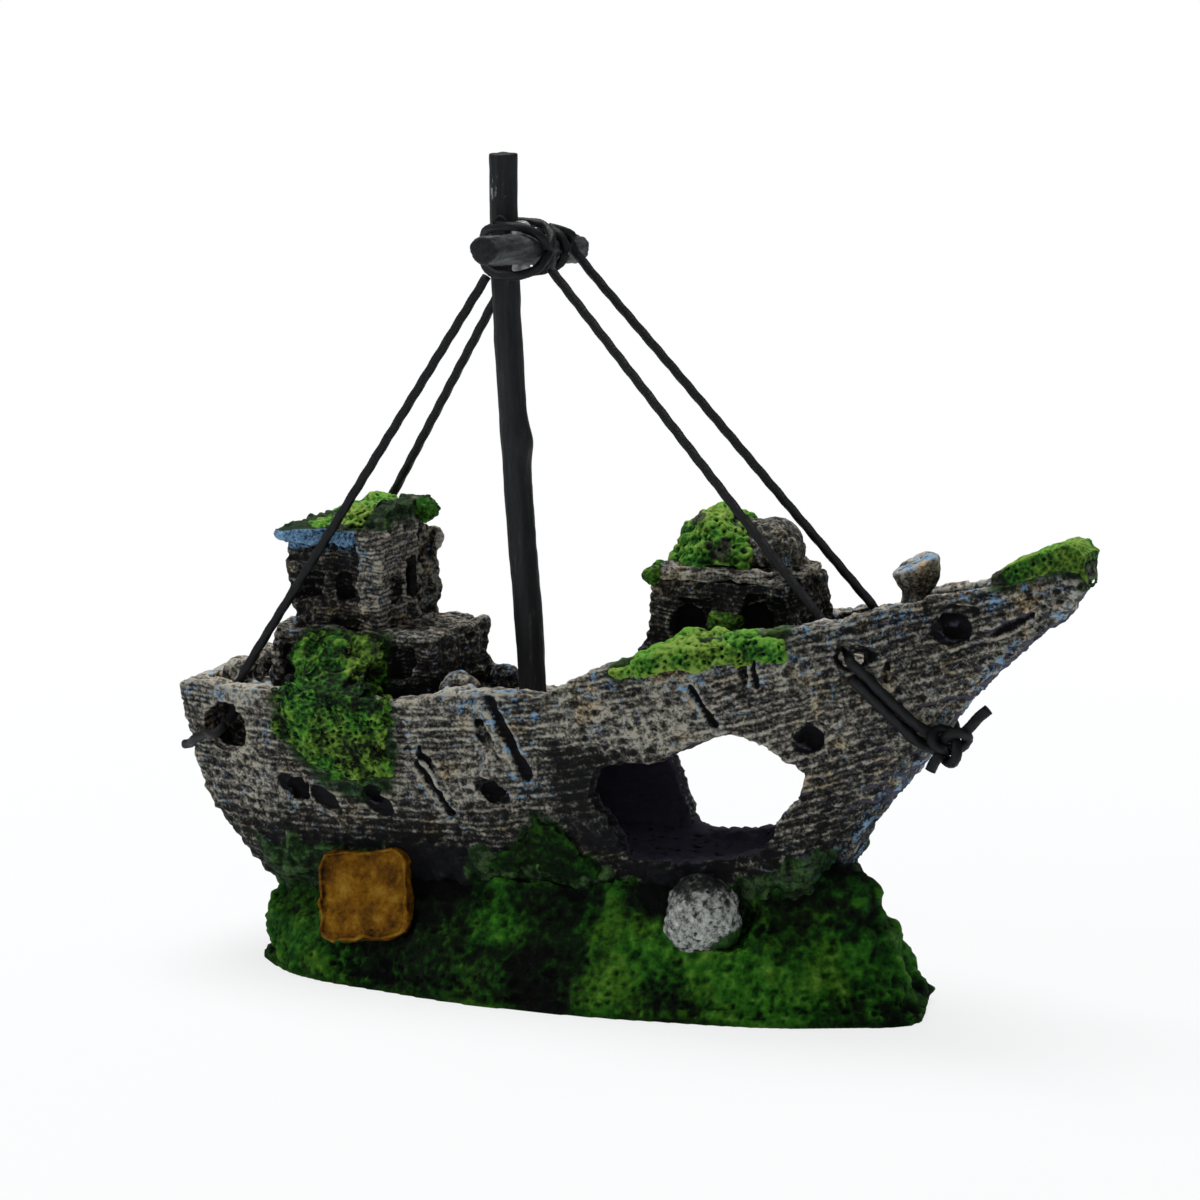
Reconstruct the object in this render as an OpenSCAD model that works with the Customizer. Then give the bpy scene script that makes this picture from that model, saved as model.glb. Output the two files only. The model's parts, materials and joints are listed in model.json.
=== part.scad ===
// Sunken fishing boat for an aquarium: a cast resin wreck bedded on a mossy rock, with a twig
// mast, a lashed twig spar and one waxed cord that makes all the rigging.
// Millimetres. +X is the bow, +Y is port, +Z is up. The underside of the rock is z = 0.

/* [Hull] */
// Length from the transom to the stem head
hull_l = 137.5; // [130:0.5:146]
// Beam over the bulwarks
hull_beam = 38; // [35:0.5:41]
// Height of the well deck above the shelf
deck_z = 41; // [39:0.5:44]
// Height of the keel above the shelf, in its bed in the rock
keel_z = 10; // [8:0.5:12]
// Thickness of the sides and bulwarks
hull_wall = 3; // [2.4:0.1:3.4]
// Place of the foredeck bulkhead, forward of amidships
foredeck_x = 1.5; // [0:0.5:2.5]
// Rise of the foredeck above the well deck
foredeck_rise = 8.5; // [7:0.5:9]
// Place of the forecastle bulkhead, forward of amidships
forecastle_x = 39.5; // [39:0.5:42]
// Rise of the forecastle above the well deck
forecastle_rise = 16.5; // [16:0.5:18]
// Length of the forecastle
forecastle_l = 14; // [11:0.5:15]

/* [Openings in the hull] */
// Middle of the gap broken through both sides, forward of amidships
gap_x = 15; // [14:0.5:17]
// Length of the gap
gap_l = 31.5; // [27:0.5:33]
// Height of the gap
gap_h = 20; // [17:0.5:21]
// Height of the gap's sill above the keel
gap_sill = 11.3; // [10.5:0.1:12]
// How far the hollow inside runs on aft of the gap
hollow_l = 12; // [8:0.5:13]
// Thickness of the deck over the hollow
hollow_roof = 4; // [3:0.5:6]
// Middle of the rope wells, aft of amidships
well_x = 59.5; // [58.5:0.5:60.5]
// Length of each rope well
well_l = 8.5; // [7.5:0.5:9]
// Depth of each rope well below the deck
well_depth = 9; // [8.5:0.5:10]
// Distance from the middle line to each rope well
well_y = 8; // [7:0.5:9]
// Diameter of the rope holes in the stern
stern_hole_d = 6.2; // [5.6:0.1:6.6]
// Height of the stern rope holes below the deck
stern_hole_drop = 5.2; // [4.8:0.1:5.6]
// Diameter of the rope holes in the bow
bow_hole_d = 3.6; // [3:0.1:4.4]
// Middle of the bow rope holes, forward of amidships
bow_hole_x = 37; // [36:0.5:37]
// Height of the bow rope holes above the foredeck
bow_hole_rise = 3.4; // [2.8:0.1:4]
// Depth of the blind portholes
porthole_depth = 1.2; // [0.8:0.1:1.6]
// Depth of the gouges in the planking
gouge_depth = 1; // [0.6:0.1:1.4]

/* [Rock] */
// Length of the rock's foot
rock_l = 106.5; // [102:0.5:110]
// Width of the rock's foot
rock_w = 45; // [43:0.5:48]
// Middle of the rock, aft of amidships
rock_x = 6; // [4:0.5:8]
// Height of the rock where the hull sinks into it
rock_h = 19; // [17.5:0.5:20]
// Height of the smooth rim round the foot
foot_h = 1.6; // [1:0.1:2.5]

/* [Plaque and shell] */
// Width of the bare plaque
plaque_w = 14; // [12:0.5:16]
// Height of the plaque
plaque_h = 13; // [11:0.5:14]
// Thickness of the plaque
plaque_t = 2.6; // [2:0.1:3.2]
// Radius of the plaque's corners
plaque_corner = 2.4; // [1.5:0.1:3]
// Height of the plaque's raised rim
plaque_rim = 0.5; // [0.3:0.1:0.8]
// How far the plaque leans back, in degrees
plaque_lean = 16; // [8:1:22]
// Width of the white shell
shell_d = 11; // [9:0.5:12.5]
// Height of the white shell
shell_h = 12; // [10:0.5:13]

/* [Deckhouse and tower] */
// Place of the deckhouse's front, aft of amidships
house_front_x = 27.5; // [26.5:0.5:29]
// Length of the deckhouse
house_l = 27; // [25.5:0.5:27.5]
// Width of the deckhouse
house_w = 20; // [19:0.5:20.5]
// Height of the deckhouse
house_h = 9.8; // [9:0.1:10.5]
// Width of the deckhouse door
door_w = 4.6; // [3.6:0.1:5.4]
// Height of the deckhouse door
door_h = 7; // [6:0.1:7.6]
// Distance from the deckhouse's front to the tower
terrace_l = 8.1; // [7.5:0.1:9.5]
// Length of the tower
tower_l = 15; // [14:0.5:16]
// Width of the tower
tower_w = 15.2; // [14:0.1:15.4]
// Height of the tower's walls
tower_h = 12; // [11:0.5:13]
// How far the tower's aft wall leans out
tower_lean = 2.2; // [1:0.1:3]
// Side of the tower's square windows
tower_window = 4; // [3:0.1:4.4]
// Depth of windows and doors
recess = 2; // [1.4:0.1:2.6]
// Thickness of the tower roof
tower_roof_t = 2.2; // [1.6:0.1:3]
// How far the tower roof runs past the walls
eave = 0.6; // [0.4:0.1:0.8]
// Thickness of the tower's broken front wall
front_wall_t = 3.4; // [2.4:0.1:4]
// Height of the front wall's crest above the tower's walls
crest_h = 6.5; // [5:0.5:8]

/* [Fore cabin] */
// Place of the cabin's aft wall, forward of amidships
cabin_x = 2.5; // [2.5:0.5:3.5]
// Length of the cabin at its foot
cabin_l = 25; // [23.5:0.5:25.5]
// Width of the cabin at its foot
cabin_w = 16; // [15:0.5:16.4]
// Height of the cabin's walls
cabin_h = 12; // [11:0.5:13]
// How far the cabin's walls lean in
cabin_lean = 2.4; // [1.5:0.1:3]
// Thickness of each of the two eave courses
course_t = 1; // [0.8:0.1:1.3]
// Height of the cabin's windows
cabin_window_h = 5; // [4:0.1:5.6]
// Height of the heaped roof
heap_h = 7; // [5.5:0.5:8]

/* [Mast and spar] */
// Diameter of the mast twig
mast_d = 4.3; // [3.8:0.1:4.8]
// Height of the mast above the well deck
mast_h = 79.5; // [72:0.5:88]
// Place of the mast, aft of amidships
mast_x = 16.6; // [16:0.2:18]
// How far the mast's top leans aft
mast_lean = 4.7; // [3.5:0.1:6]
// Depth of the mast's socket in the deck
socket_depth = 6; // [4:0.5:8]
// Diameter of the mast's foot in the socket
tenon_d = 3.6; // [3:0.1:3.8]
// Radial gap between the mast's foot and its socket
socket_gap = 0.05; // [0.03:0.01:0.1]
// Length of the spar
spar_l = 32; // [28:0.5:36]
// Diameter of the spar
spar_d = 4.1; // [3.6:0.1:4.6]
// Height of the spar's middle above the well deck
spar_z = 65.8; // [60:0.5:72]
// How far the spar dips to port, in degrees
spar_dip = 5; // [0:0.5:8]
// Width of each glue bead
glue_d = 2.4; // [1.8:0.1:2.8]

/* [Rigging] */
// Diameter of the waxed cord
cord_d = 1.4; // [1.2:0.1:1.5]

/* [Moss] */
// Thickness of the moss on the hull
moss_t = 1; // [0.7:0.1:1.4]

/* [Hidden] */
// Places along the hull are given for a hull of this length, and move with a longer or shorter one
HULL_AS_DRAWN = 137.5;
stretch = hull_l / HULL_AS_DRAWN;
foredeck_at = foredeck_x * stretch;
forecastle_at = forecastle_x * stretch;
forecastle_run = forecastle_l * stretch;
gap_at = gap_x * stretch;
well_at = well_x * stretch;
bow_hole_at = bow_hole_x * stretch;
house_front_at = house_front_x * stretch;
house_run = house_l * stretch;
cabin_at = cabin_x * stretch;
cabin_run = cabin_l * stretch;
mast_foot_at = mast_x * stretch;

$fn = 48;

STONE = "#8c8478";
DARK_STONE = "#5f584e";
MOSS = "#3f8a26";
DEEP_MOSS = "#24521c";
OCHRE = "#a9701f";
SHELL_WHITE = "#c9c9c4";
BLACK_WOOD = "#26262a";
CORD = "#1c1c1e";
GLUE = "#d8d4c8";

// Table of offsets, stern to stem: station in per cent of the length, height of the sheer above
// the well deck, depth of the keel or stem below the sheer, half beam at the sheer and at the
// keel as a share of the widest. The keel line never drops below keel_z.
LINES = [
    [0, 0.5, 8, 0.66, 0.50], [1, 1, 11.5, 0.70, 0.52], [2, 1.2, 17, 0.74, 0.52],
    [4, 1.5, 22, 0.80, 0.48], [7, 1.5, 27, 0.87, 0.45], [10, 1.5, 30, 0.92, 0.44],
    [15, 1.5, 40, 0.96, 0.45], [23, 1.5, 40, 1.00, 0.48], [30, 2, 40, 1.00, 0.48],
    [34, 4, 44, 1.00, 0.48], [45, 4.5, 44, 1.00, 0.48], [49, 7.5, 46, 1.00, 0.48],
    [53, 10, 50, 0.99, 0.46], [61, 14, 52, 0.95, 0.40], [71, 16.2, 54, 0.84, 0.22],
    [73.5, 16.8, 38, 0.79, 0.18], [76, 17.4, 32.5, 0.73, 0.15], [79, 18.8, 28.5, 0.64, 0.13],
    [82.5, 20, 23.5, 0.52, 0.12], [86, 21, 18, 0.40, 0.11], [90.5, 22.5, 12.5, 0.29, 0.10],
    [94, 24.5, 9.8, 0.24, 0.10], [97, 26.5, 9, 0.21, 0.10], [99, 27, 6, 0.17, 0.10],
    [100, 25.5, 2, 0.11, 0.08]
];
// How full the sections are: 1 is a straight flare, less is rounder
FULLNESS = 0.55;
// Points up each side of a section
SECTION_STEPS = 6;

// Outline of the broken gap, as shares of its length and height, anticlockwise from its sill
GAP_EDGE = [
    [0.24, 0], [0.48, 0.04], [0.64, 0.08], [0.78, 0.14], [0.84, 0.24], [0.88, 0.43],
    [0.95, 0.54], [1, 0.70], [0.98, 0.79], [0.90, 0.84], [0.78, 0.95], [0.66, 1],
    [0.48, 0.91], [0.35, 0.77], [0.18, 0.74], [0.05, 0.69], [0, 0.50], [0.11, 0.20],
    [0.16, 0.03]
];
// Blind portholes: distance forward of amidships, height above the deck, width, height
PORTHOLES = [
    [52.5, 17.2, 6, 5], [32.8, 0.6, 4.2, 4.2], [-47.6, -13, 3.6, 3.4], [-35, -12.6, 3, 2.6],
    [-15.8, -10.8, 3.8, 2.8]
];
// Gouges: distance forward of amidships, height above the deck, length, width, lean in degrees
GOUGES = [
    [-15.6, -3.6, 11, 2, -32], [-25.5, -7.4, 8.6, 1.3, -33], [23, 9, 5, 1.6, 4],
    [41.5, 9.5, 7, 1.6, 12]
];

// Top of the broken port bulwark: distance forward of amidships, height above the deck
PORT_BREAK = [
    [-33, 2.2], [-31, 0.6], [-27, 0], [-22.5, -1.6], [-14, -1.4], [-6, -1.8], [-1, 1], [2, 3.5],
    [8, 9.2], [16, 12.2], [28, 14.4], [36, 15.8], [44, 18], [46, 20.4]
];
// How far inboard the deck is broken away on the port side
port_break_y = 9;

deck_top = deck_z;
foredeck_z = deck_z + foredeck_rise;
forecastle_z = deck_z + forecastle_rise;
house_top = deck_z + house_h;
tower_top = house_top + tower_h;
roof_top = tower_top + tower_roof_t;
cabin_top = foredeck_z + cabin_h;
eaves_top = cabin_top + 2 * course_t;
tower_front_x = -house_front_at - terrace_l;
gap_z = keel_z + gap_sill;
cord_r = cord_d / 2;
OVER = 1;

// ---- shared forms ----

// A closed solid through rings of points, each anticlockwise about the way the rings go
module loft(rings) {
    n = len(rings[0]);
    last = (len(rings) - 1) * n;
    sides = [for (k = [0:len(rings) - 2], i = [0:n - 1], half = [0, 1])
        let (a = k * n + i, b = k * n + (i + 1) % n)
        half == 0 ? [a, a + n, b + n] : [a, b + n, b]];
    cap_0 = [for (i = [1:n - 2]) [0, i, i + 1]];
    cap_1 = [for (i = [1:n - 2]) [last, last + i + 1, last + i]];
    polyhedron(points = [for (r = rings) each r], faces = concat(sides, cap_0, cap_1));
}

// A weathered lump on a flat seat, its bumps made from sines
module lump(l, w, h, seed = 0, sides = 18, levels = 4, taper = 1.3) {
    loft([for (k = [0:levels]) let (t = k / levels)
        [for (i = [0:sides - 1])
            let (a = 360 * i / sides,
                 bump = 1 + 0.09 * sin(3 * a + 70 * seed) + 0.06 * sin(5 * a - 50 * seed + 80 * t),
                 s = cos(78 * pow(t, taper)) * bump)
            [l / 2 * s * cos(a), w / 2 * s * sin(a), h * sin(90 * t)]]]);
}

// A plate in the X-Z plane, from y0 to y1
module along_y(y0, y1) {
    translate([0, y1, 0]) rotate([90, 0, 0]) linear_extrude(y1 - y0) children();
}

// A plate in the Y-Z plane, from x0 to x1
module along_x(x0, x1) {
    translate([x0, 0, 0]) rotate([90, 0, 90]) linear_extrude(x1 - x0) children();
}

function unit(v) = v / norm(v);
function heading(p, i) =
    unit((i < len(p) - 1 ? p[i + 1] : p[i]) - (i > 0 ? p[i - 1] : p[i]));

// A cord: eight-sided rings swept along the points, from the first to the last
module cord(p, closed = false) {
    n = len(p);
    up = [0.11, 0.31, 0.94];
    ring = [for (i = [0:n - 1])
        let (h = closed ? unit(p[(i + 1) % n] - p[(i + n - 1) % n]) : heading(p, i),
             u = unit(cross(h, up)), v = cross(h, u))
        [for (k = [0:7]) p[i] + cord_r * (cos(45 * k) * u + sin(45 * k) * v)]];
    if (closed) {
        polyhedron(points = [for (r = ring) each r],
            faces = [for (i = [0:n - 1], k = [0:7], half = [0, 1])
                let (a = i * 8 + k, b = i * 8 + (k + 1) % 8,
                     c = ((i + 1) % n) * 8 + k, d = ((i + 1) % n) * 8 + (k + 1) % 8)
                half == 0 ? [a, c, d] : [a, d, b]]);
    } else loft(ring);
}

// ---- hull ----

function station_x(row) = (row[0] / 100 - 0.5) * hull_l;
function sheer_z(row) = deck_z + row[1];
function bottom_z(row) = max(keel_z, sheer_z(row) - row[2]);
function half_beam(row, u) =
    (row[4] + (row[3] - row[4]) * pow(u, FULLNESS)) * hull_beam / 2;

// One section of the hull, grown outwards by grow and upwards by lift
function section(row, grow, lift) =
    let (top = sheer_z(row), low = bottom_z(row) - grow, m = SECTION_STEPS)
    [for (side = [-1, 1], j = [0:m]) let (u = (side < 0 ? m - j : j) / m)
        [station_x(row), side * max(0.4, half_beam(row, u) + grow),
         u == 1 ? top + lift : low + (top - low) * u]];

// The hull's body between two stations, in per cent of its length
module hull_form(grow = 0, lift = 0, from = 0, to = 100) {
    loft([for (row = LINES) if (row[0] >= from && row[0] <= to) section(row, grow, lift)]);
}

function line_at(x, k) = lookup(x, [for (row = LINES) [station_x(row), row[k]]]);
// Half beam of the hull at a place on its side
function side_y(x, z) =
    let (top = deck_z + line_at(x, 1), low = max(keel_z, top - line_at(x, 2)),
         u = max(0, min(1, (z - low) / (top - low))))
    half_beam([0, 0, 0, line_at(x, 3), line_at(x, 4)], u);

// Everything hollowed out of the hull inside its walls: decks, rope wells and the hold
module hull_inside() {
    stern_end = -hull_l / 2 + hull_wall;
    sky = deck_z + 40;
    hollow_top = deck_z - hollow_roof;
    intersection() {
        hull_form(grow = -hull_wall, lift = 8, from = 2, to = 94);
        union() {
            along_y(-hull_beam, hull_beam) polygon([
                [stern_end, deck_top], [foredeck_at, deck_top], [foredeck_at, foredeck_z],
                [forecastle_at, foredeck_z], [forecastle_at, forecastle_z],
                [forecastle_at + forecastle_run, forecastle_z], [forecastle_at + forecastle_run, sky],
                [stern_end, sky]]);
            for (side = [-1, 1])
                translate([-well_at - well_l / 2, side > 0 ? well_y : -hull_beam, deck_z - well_depth])
                    cube([well_l, hull_beam - well_y, well_depth + OVER]);
            translate([gap_at - gap_l / 2 - hollow_l, -hull_beam, gap_z])
                cube([hollow_l + gap_l * 0.85, 2 * hull_beam, hollow_top - gap_z]);
        }
    }
}

module gap_cut() {
    along_y(-hull_beam, hull_beam)
        polygon([for (p = GAP_EDGE) [gap_at + (p[0] - 0.5) * gap_l, gap_z + p[1] * gap_h]]);
}

module port_cut() {
    sky = deck_z + 40;
    along_y(port_break_y, hull_beam) polygon([
        [PORT_BREAK[0][0] * stretch, sky], for (p = PORT_BREAK) [p[0] * stretch, deck_z + p[1]],
        [PORT_BREAK[len(PORT_BREAK) - 1][0] * stretch, sky]]);
}

// A round dent in the planking of one side
module porthole(p, side) {
    x = p[0];
    z = deck_z + p[1];
    y = side_y(x, z) - porthole_depth;
    translate([x, side * y, z]) rotate([side * -90, 0, 0])
        linear_extrude(hull_beam) polygon([for (a = [0:30:330]) [p[2] / 2 * cos(a), p[3] / 2 * sin(a)]]);
}

// A slanting split in the planking of one side
module gouge(g, side) {
    z = deck_z + g[1];
    translate([g[0], side * (side_y(g[0], z) - gouge_depth), z]) rotate([side * -90, side * -g[4], 0])
        linear_extrude(hull_beam)
            polygon([[0, -g[2] / 2], [g[3] / 2, 0], [g[3] * 0.3, g[2] / 2], [-g[3] / 2, g[2] * 0.2]]);
}

module hull() {
    color(STONE) difference() {
        hull_form();
        hull_inside();
        gap_cut();
        port_cut();
        for (side = [-1, 1]) {
            translate([-well_at, side * well_y, deck_z - stern_hole_drop])
                rotate([side * -90, 0, 0]) cylinder(d = stern_hole_d, h = hull_beam);
            translate([bow_hole_at, side * cabin_w / 4, foredeck_z + bow_hole_rise])
                rotate([side * -90, 0, 0]) cylinder(d = bow_hole_d, h = hull_beam);
            for (p = PORTHOLES) porthole(p, side);
            for (g = GOUGES) gouge(g, side);
        }
        translate([-mast_foot_at, 0, deck_z - socket_depth])
            cylinder(d = tenon_d + 2 * socket_gap, h = socket_depth + OVER);
    }
}

// ---- rock ----

function signed_pow(v, e) = sign(v) * pow(abs(v), e);
// A point of the rock's plan at an angle, broad under the stern and narrow under the bow
function rock_plan(a, sx = 1, sy = 1) =
    let (edge = 1 - 0.02 * (1 + sin(5 * a)) - 0.015 * (1 + sin(9 * a + 40)))
    [sx * edge * rock_l / 2 * signed_pow(cos(a), 0.8),
     sy * edge * rock_w / 2 * signed_pow(sin(a), 0.75) * (1 - 0.13 * cos(a))];

// Rings of the mound: share of its height, of its length and of its width
MOUND = [[0.05, 0.99, 0.985], [0.3, 0.97, 0.95], [0.6, 0.93, 0.87], [0.85, 0.87, 0.76],
    [1, 0.81, 0.65], [1, 0.1, 0.1]];
MOUND_SIDES = 44;

module mound() {
    translate([-rock_x, 0, 0]) {
        linear_extrude(foot_h) polygon([for (i = [0:MOUND_SIDES - 1]) rock_plan(360 * i / MOUND_SIDES)]);
        loft([for (k = [0:len(MOUND) - 1]) [for (i = [0:MOUND_SIDES - 1])
            let (a = 360 * i / MOUND_SIDES, row = MOUND[k], p = rock_plan(a, row[1], row[2]),
                 knob = row[1] > 0.5 ? 1 + 0.03 * sin(7 * a + 60 * k) : 1,
                 slope = 0.86 + 0.17 * cos(a))
            [p[0] * knob - 4 * row[0], p[1] * knob,
             k == 0 ? foot_h : max(foot_h + k, rock_h * row[0] * slope)]]]);
    }
}

// Puts a plate drawn in X-Y on the rock's starboard flank, leaning back, its back towards +Y
module on_flank() {
    translate([-34.6, -0.72 * rock_w / 2, 0.72 * rock_h]) rotate([90 - plaque_lean, 0, 0]) rotate(8)
        children();
}

module plaque_plate(w, h, r) {
    inner_w = w - 2 * r;
    inner_h = h - 2 * r;
    square([inner_w, h], center = true);
    square([w, inner_h], center = true);
    for (sx = [-1, 1], sy = [-1, 1]) translate([sx * inner_w / 2, sy * inner_h / 2]) circle(r);
}

module plaque_block() {
    on_flank() linear_extrude(plaque_t - plaque_rim) plaque_plate(plaque_w, plaque_h, plaque_corner);
}

module plaque() {
    color(OCHRE) difference() {
        plaque_plates();
        hull_form(from = 15, to = 34);
    }
}

module plaque_plates() {
    plaque_block();
    on_flank() translate([0, 0, plaque_t - plaque_rim]) linear_extrude(plaque_rim) difference() {
        plaque_plate(plaque_w, plaque_h, plaque_corner);
        plaque_plate(plaque_w - 2 * plaque_rim, plaque_h - 2 * plaque_rim, plaque_corner - plaque_rim);
    }
}

// The shell's egg shape, point down in the rock
module shell_egg() {
    steps = 14;
    translate([18, -14.6, 9.4]) rotate([-12, 0, 0]) rotate_extrude() polygon([
        [0, 0], for (i = [1:steps]) let (a = 180 * i / steps)
            [shell_d / 2 * pow(sin(a), 0.8) * (1 - 0.12 * cos(a - 180)), shell_h / 2 * (1 - cos(a))]]);
}

module white_shell() {
    color(SHELL_WHITE) difference() {
        shell_egg();
        hull_form(from = 45, to = 73.5);
    }
}

module rock_base() {
    color(DEEP_MOSS) difference() {
        mound();
        hull_form(from = 4, to = 76);
        plaque_block();
        shell_egg();
    }
}

// ---- deckhouse and tower ----

house_y = -1;
tower_y = -0.25;

module aft_deckhouse() {
    aft = -house_front_at - house_run;
    starboard = house_y - house_w / 2;
    course = house_h / 5;
    color(DARK_STONE) difference() {
        translate([aft, house_y, deck_top]) linear_extrude(house_h) polygon([
            [0, -house_w / 2 + 1], [1.2, -house_w / 2], [house_run - 0.8, -house_w / 2],
            [house_run, -house_w / 2 + 0.8], [house_run, house_w / 2 - 0.6], [house_run - 0.6, house_w / 2],
            [1, house_w / 2], [0, house_w / 2 - 1]]);
        translate([aft + 2.4, starboard - OVER, deck_top - OVER])
            cube([door_w, recess + OVER, door_h + OVER]);
        translate([-house_front_at - terrace_l + 0.8, starboard - OVER, deck_top + house_h * 0.35])
            cube([terrace_l * 0.5, recess + OVER, house_h * 0.5]);
        for (i = [1:4]) translate([-house_front_at - 0.3, starboard + 1.5, deck_top + i * course])
            cube([OVER, house_w - 3, 0.35]);
    }
}

module aft_tower() {
    starboard = tower_y - tower_w / 2;
    pitch = tower_window * 1.55;
    first = tower_front_x - front_wall_t - 1.2 - tower_window / 2;
    front = tower_front_x - front_wall_t;
    aft = tower_front_x - tower_l;
    color(DARK_STONE) difference() {
        along_y(starboard, starboard + tower_w) polygon([
            [front, house_top], [front, tower_top], [aft - tower_lean, tower_top],
            [aft, house_top + tower_h * 0.1], [aft, house_top]]);
        for (side = [0, 1], i = [0, 1])
            translate([first - i * pitch, side == 0 ? starboard : starboard + tower_w,
                       house_top + tower_h * 0.5])
                cube([tower_window, 2 * recess, tower_window], center = true);
    }
}

module tower_front() {
    w = tower_w / 2 + 0.3;
    slit_w = tower_w * 0.34;
    color(STONE) difference() {
        translate([0, tower_y, 0]) along_x(tower_front_x - front_wall_t, tower_front_x) polygon([
            [-w, house_top], [-w, tower_top], [-w + 1, tower_top + crest_h * 0.35],
            [-w * 0.62, tower_top + crest_h * 0.75], [-w * 0.38, tower_top + crest_h],
            [w * 0.3, tower_top + crest_h * 0.92], [w * 0.66, tower_top + crest_h * 0.66],
            [w * 0.8, tower_top + crest_h * 0.2], [w, tower_top], [w, tower_top - 1.4],
            [w - 0.7, tower_top - 2.4], [w - 0.7, house_top]]);
        translate([tower_front_x - recess, tower_y + tower_w * 0.12, house_top + 0.6])
            cube([recess + OVER, slit_w, tower_h + crest_h * 0.45]);
        translate([tower_front_x - recess, tower_y - tower_w * 0.34, house_top + tower_h * 0.3])
            cube([recess + OVER, tower_window * 0.7, tower_window]);
    }
}

module tower_roof() {
    aft = tower_front_x - tower_l - tower_lean;
    front = tower_front_x - front_wall_t;
    color(STONE) difference() {
        along_y(tower_y - tower_w / 2 - eave, tower_y + tower_w / 2 + eave) polygon([
            [front, tower_top], [front, roof_top], [aft - eave - 1.2, roof_top],
            [aft - eave - 1.4, roof_top - 0.6], [aft - eave, tower_top + 0.4], [aft + 0.4, tower_top]]);
        cord(run(aft_stay_top, stern_run(-1)[0]));
        cord(run(aft_stay_port_top, stern_run(1)[0]));
    }
}

// ---- fore cabin ----

cabin_y = 0.8;

module fore_cabin() {
    starboard = cabin_y - cabin_w / 2;
    aft_window = cabin_at + cabin_run * 0.38;
    fore_window = cabin_at + cabin_run * 0.80;
    color(STONE) difference() {
        along_y(starboard, starboard + cabin_w) polygon([
            [cabin_at, foredeck_z], [cabin_at + cabin_lean * 0.5, foredeck_z + cabin_h * 0.3],
            [cabin_at + cabin_lean * 1.3, cabin_top], [cabin_at + cabin_run - cabin_lean * 0.8, cabin_top],
            [cabin_at + cabin_run - cabin_lean * 0.3, foredeck_z + cabin_h * 0.4],
            [cabin_at + cabin_run, foredeck_z]]);
        for (side = [0, 1]) {
            translate([aft_window, starboard + side * cabin_w, foredeck_z + cabin_h * 0.58])
                cube([cabin_window_h, 2 * recess, cabin_window_h], center = true);
            translate([fore_window, starboard + side * cabin_w, foredeck_z + cabin_h * 0.68])
                cube([cabin_window_h * 1.2, 2 * recess, cabin_window_h], center = true);
        }
    }
}

module cabin_eaves() {
    color(STONE) for (k = [0, 1])
        translate([cabin_at + cabin_lean * 1.3 - 0.8 + 0.7 * k, cabin_y, cabin_top + k * course_t])
            linear_extrude(course_t)
            let (l = cabin_run - cabin_lean * 2.1 + 0.6 - 2.6 * k, w = cabin_w / 2 + 0.5 - 0.4 * k)
                polygon([[0, 1.2 - w], [1.5, -w], [l - 2, 0.2 - w], [l, 1.6 - w], [l, w - 1.4],
                    [l - 1.2, w], [2, w - 0.2], [0, w - 1.6]]);
}

module rubble_heap() {
    translate([cabin_at + cabin_run * 0.68, cabin_y + 1.2, eaves_top])
        lump(11, cabin_w - 3.4, heap_h * 0.88, seed = 3, levels = 5, taper = 1);
}

module cabin_roof_heap() {
    color(DARK_STONE) rubble_heap();
}

// ---- small castings ----

module bow_post() {
    post_h = 8;
    translate([forecastle_at + 2.2, 2.6, forecastle_z]) color(STONE) difference() {
        rotate_extrude() polygon([[0, 0], [2.7, 0], [2.2, 1.6], [2.1, 3], [2.6, 4.2], [2.9, 5.4],
            [2.9, post_h], [0, post_h]]);
        translate([0, 0, post_h - 1]) rotate([12, -24, 0]) translate([-5, -5, 0]) cube([10, 10, 6]);
    }
}

module deck_stones() {
    color(STONE) {
        translate([4 - house_front_at, -10.8, deck_top]) lump(6.4, 6, 5.4, seed = 1);
        translate([3 - house_front_at, 7.6, deck_top]) lump(5, 4.6, 3.2, seed = 2, sides = 14);
    }
}

module stern_rubble() {
    color(SHELL_WHITE) {
        translate([-well_at - 3.1, -3.9, deck_top]) lump(6.4, 6.2, 3.4, seed = 4, sides = 14);
        translate([-well_at - 2.7, 3.7, deck_top]) lump(6.6, 6.2, 4.2, seed = 5, sides = 14);
        translate([-well_at + 2.3, -0.1, deck_top]) lump(4.4, 4.4, 2.8, seed = 6, sides = 14);
    }
}

// ---- mast, spar and lashing ----

// Middle of the mast at a share of its height
function mast_at(t) = [-mast_foot_at - mast_lean * pow(sin(90 * t), 1.2), 0, deck_top + mast_h * t];
spar_share = spar_z / mast_h;
spar_x = mast_at(spar_share)[0] + mast_d / 2 + spar_d / 2 + 0.05;

module mast_twig() {
    steps = 9;
    loft([for (k = [0:steps]) let (p = mast_at(k / steps))
        [for (i = [0:11]) let (a = 30 * i, r = mast_d / 2 * (1 - 0.015 * (1 + sin(2 * a + 47 * k))))
            p + [r * cos(a), r * sin(a), 0]]]);
}

module mast() {
    color(BLACK_WOOD) {
        mast_twig();
        translate([-mast_foot_at, 0, deck_z - socket_depth]) cylinder(d = tenon_d, h = socket_depth + OVER);
    }
}

module spar_twig() {
    translate([spar_x, 0, deck_top + spar_z]) rotate([-90 - spar_dip, 0, 0])
        linear_extrude(spar_l, center = true)
            polygon([for (a = [0:30:330]) spar_d / 2 * (1 - 0.03 * (1 + sin(3 * a))) * [cos(a), sin(a)]]);
}

module spar() {
    color(BLACK_WOOD) spar_twig();
}

LASHING_STEPS = 18;
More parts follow.
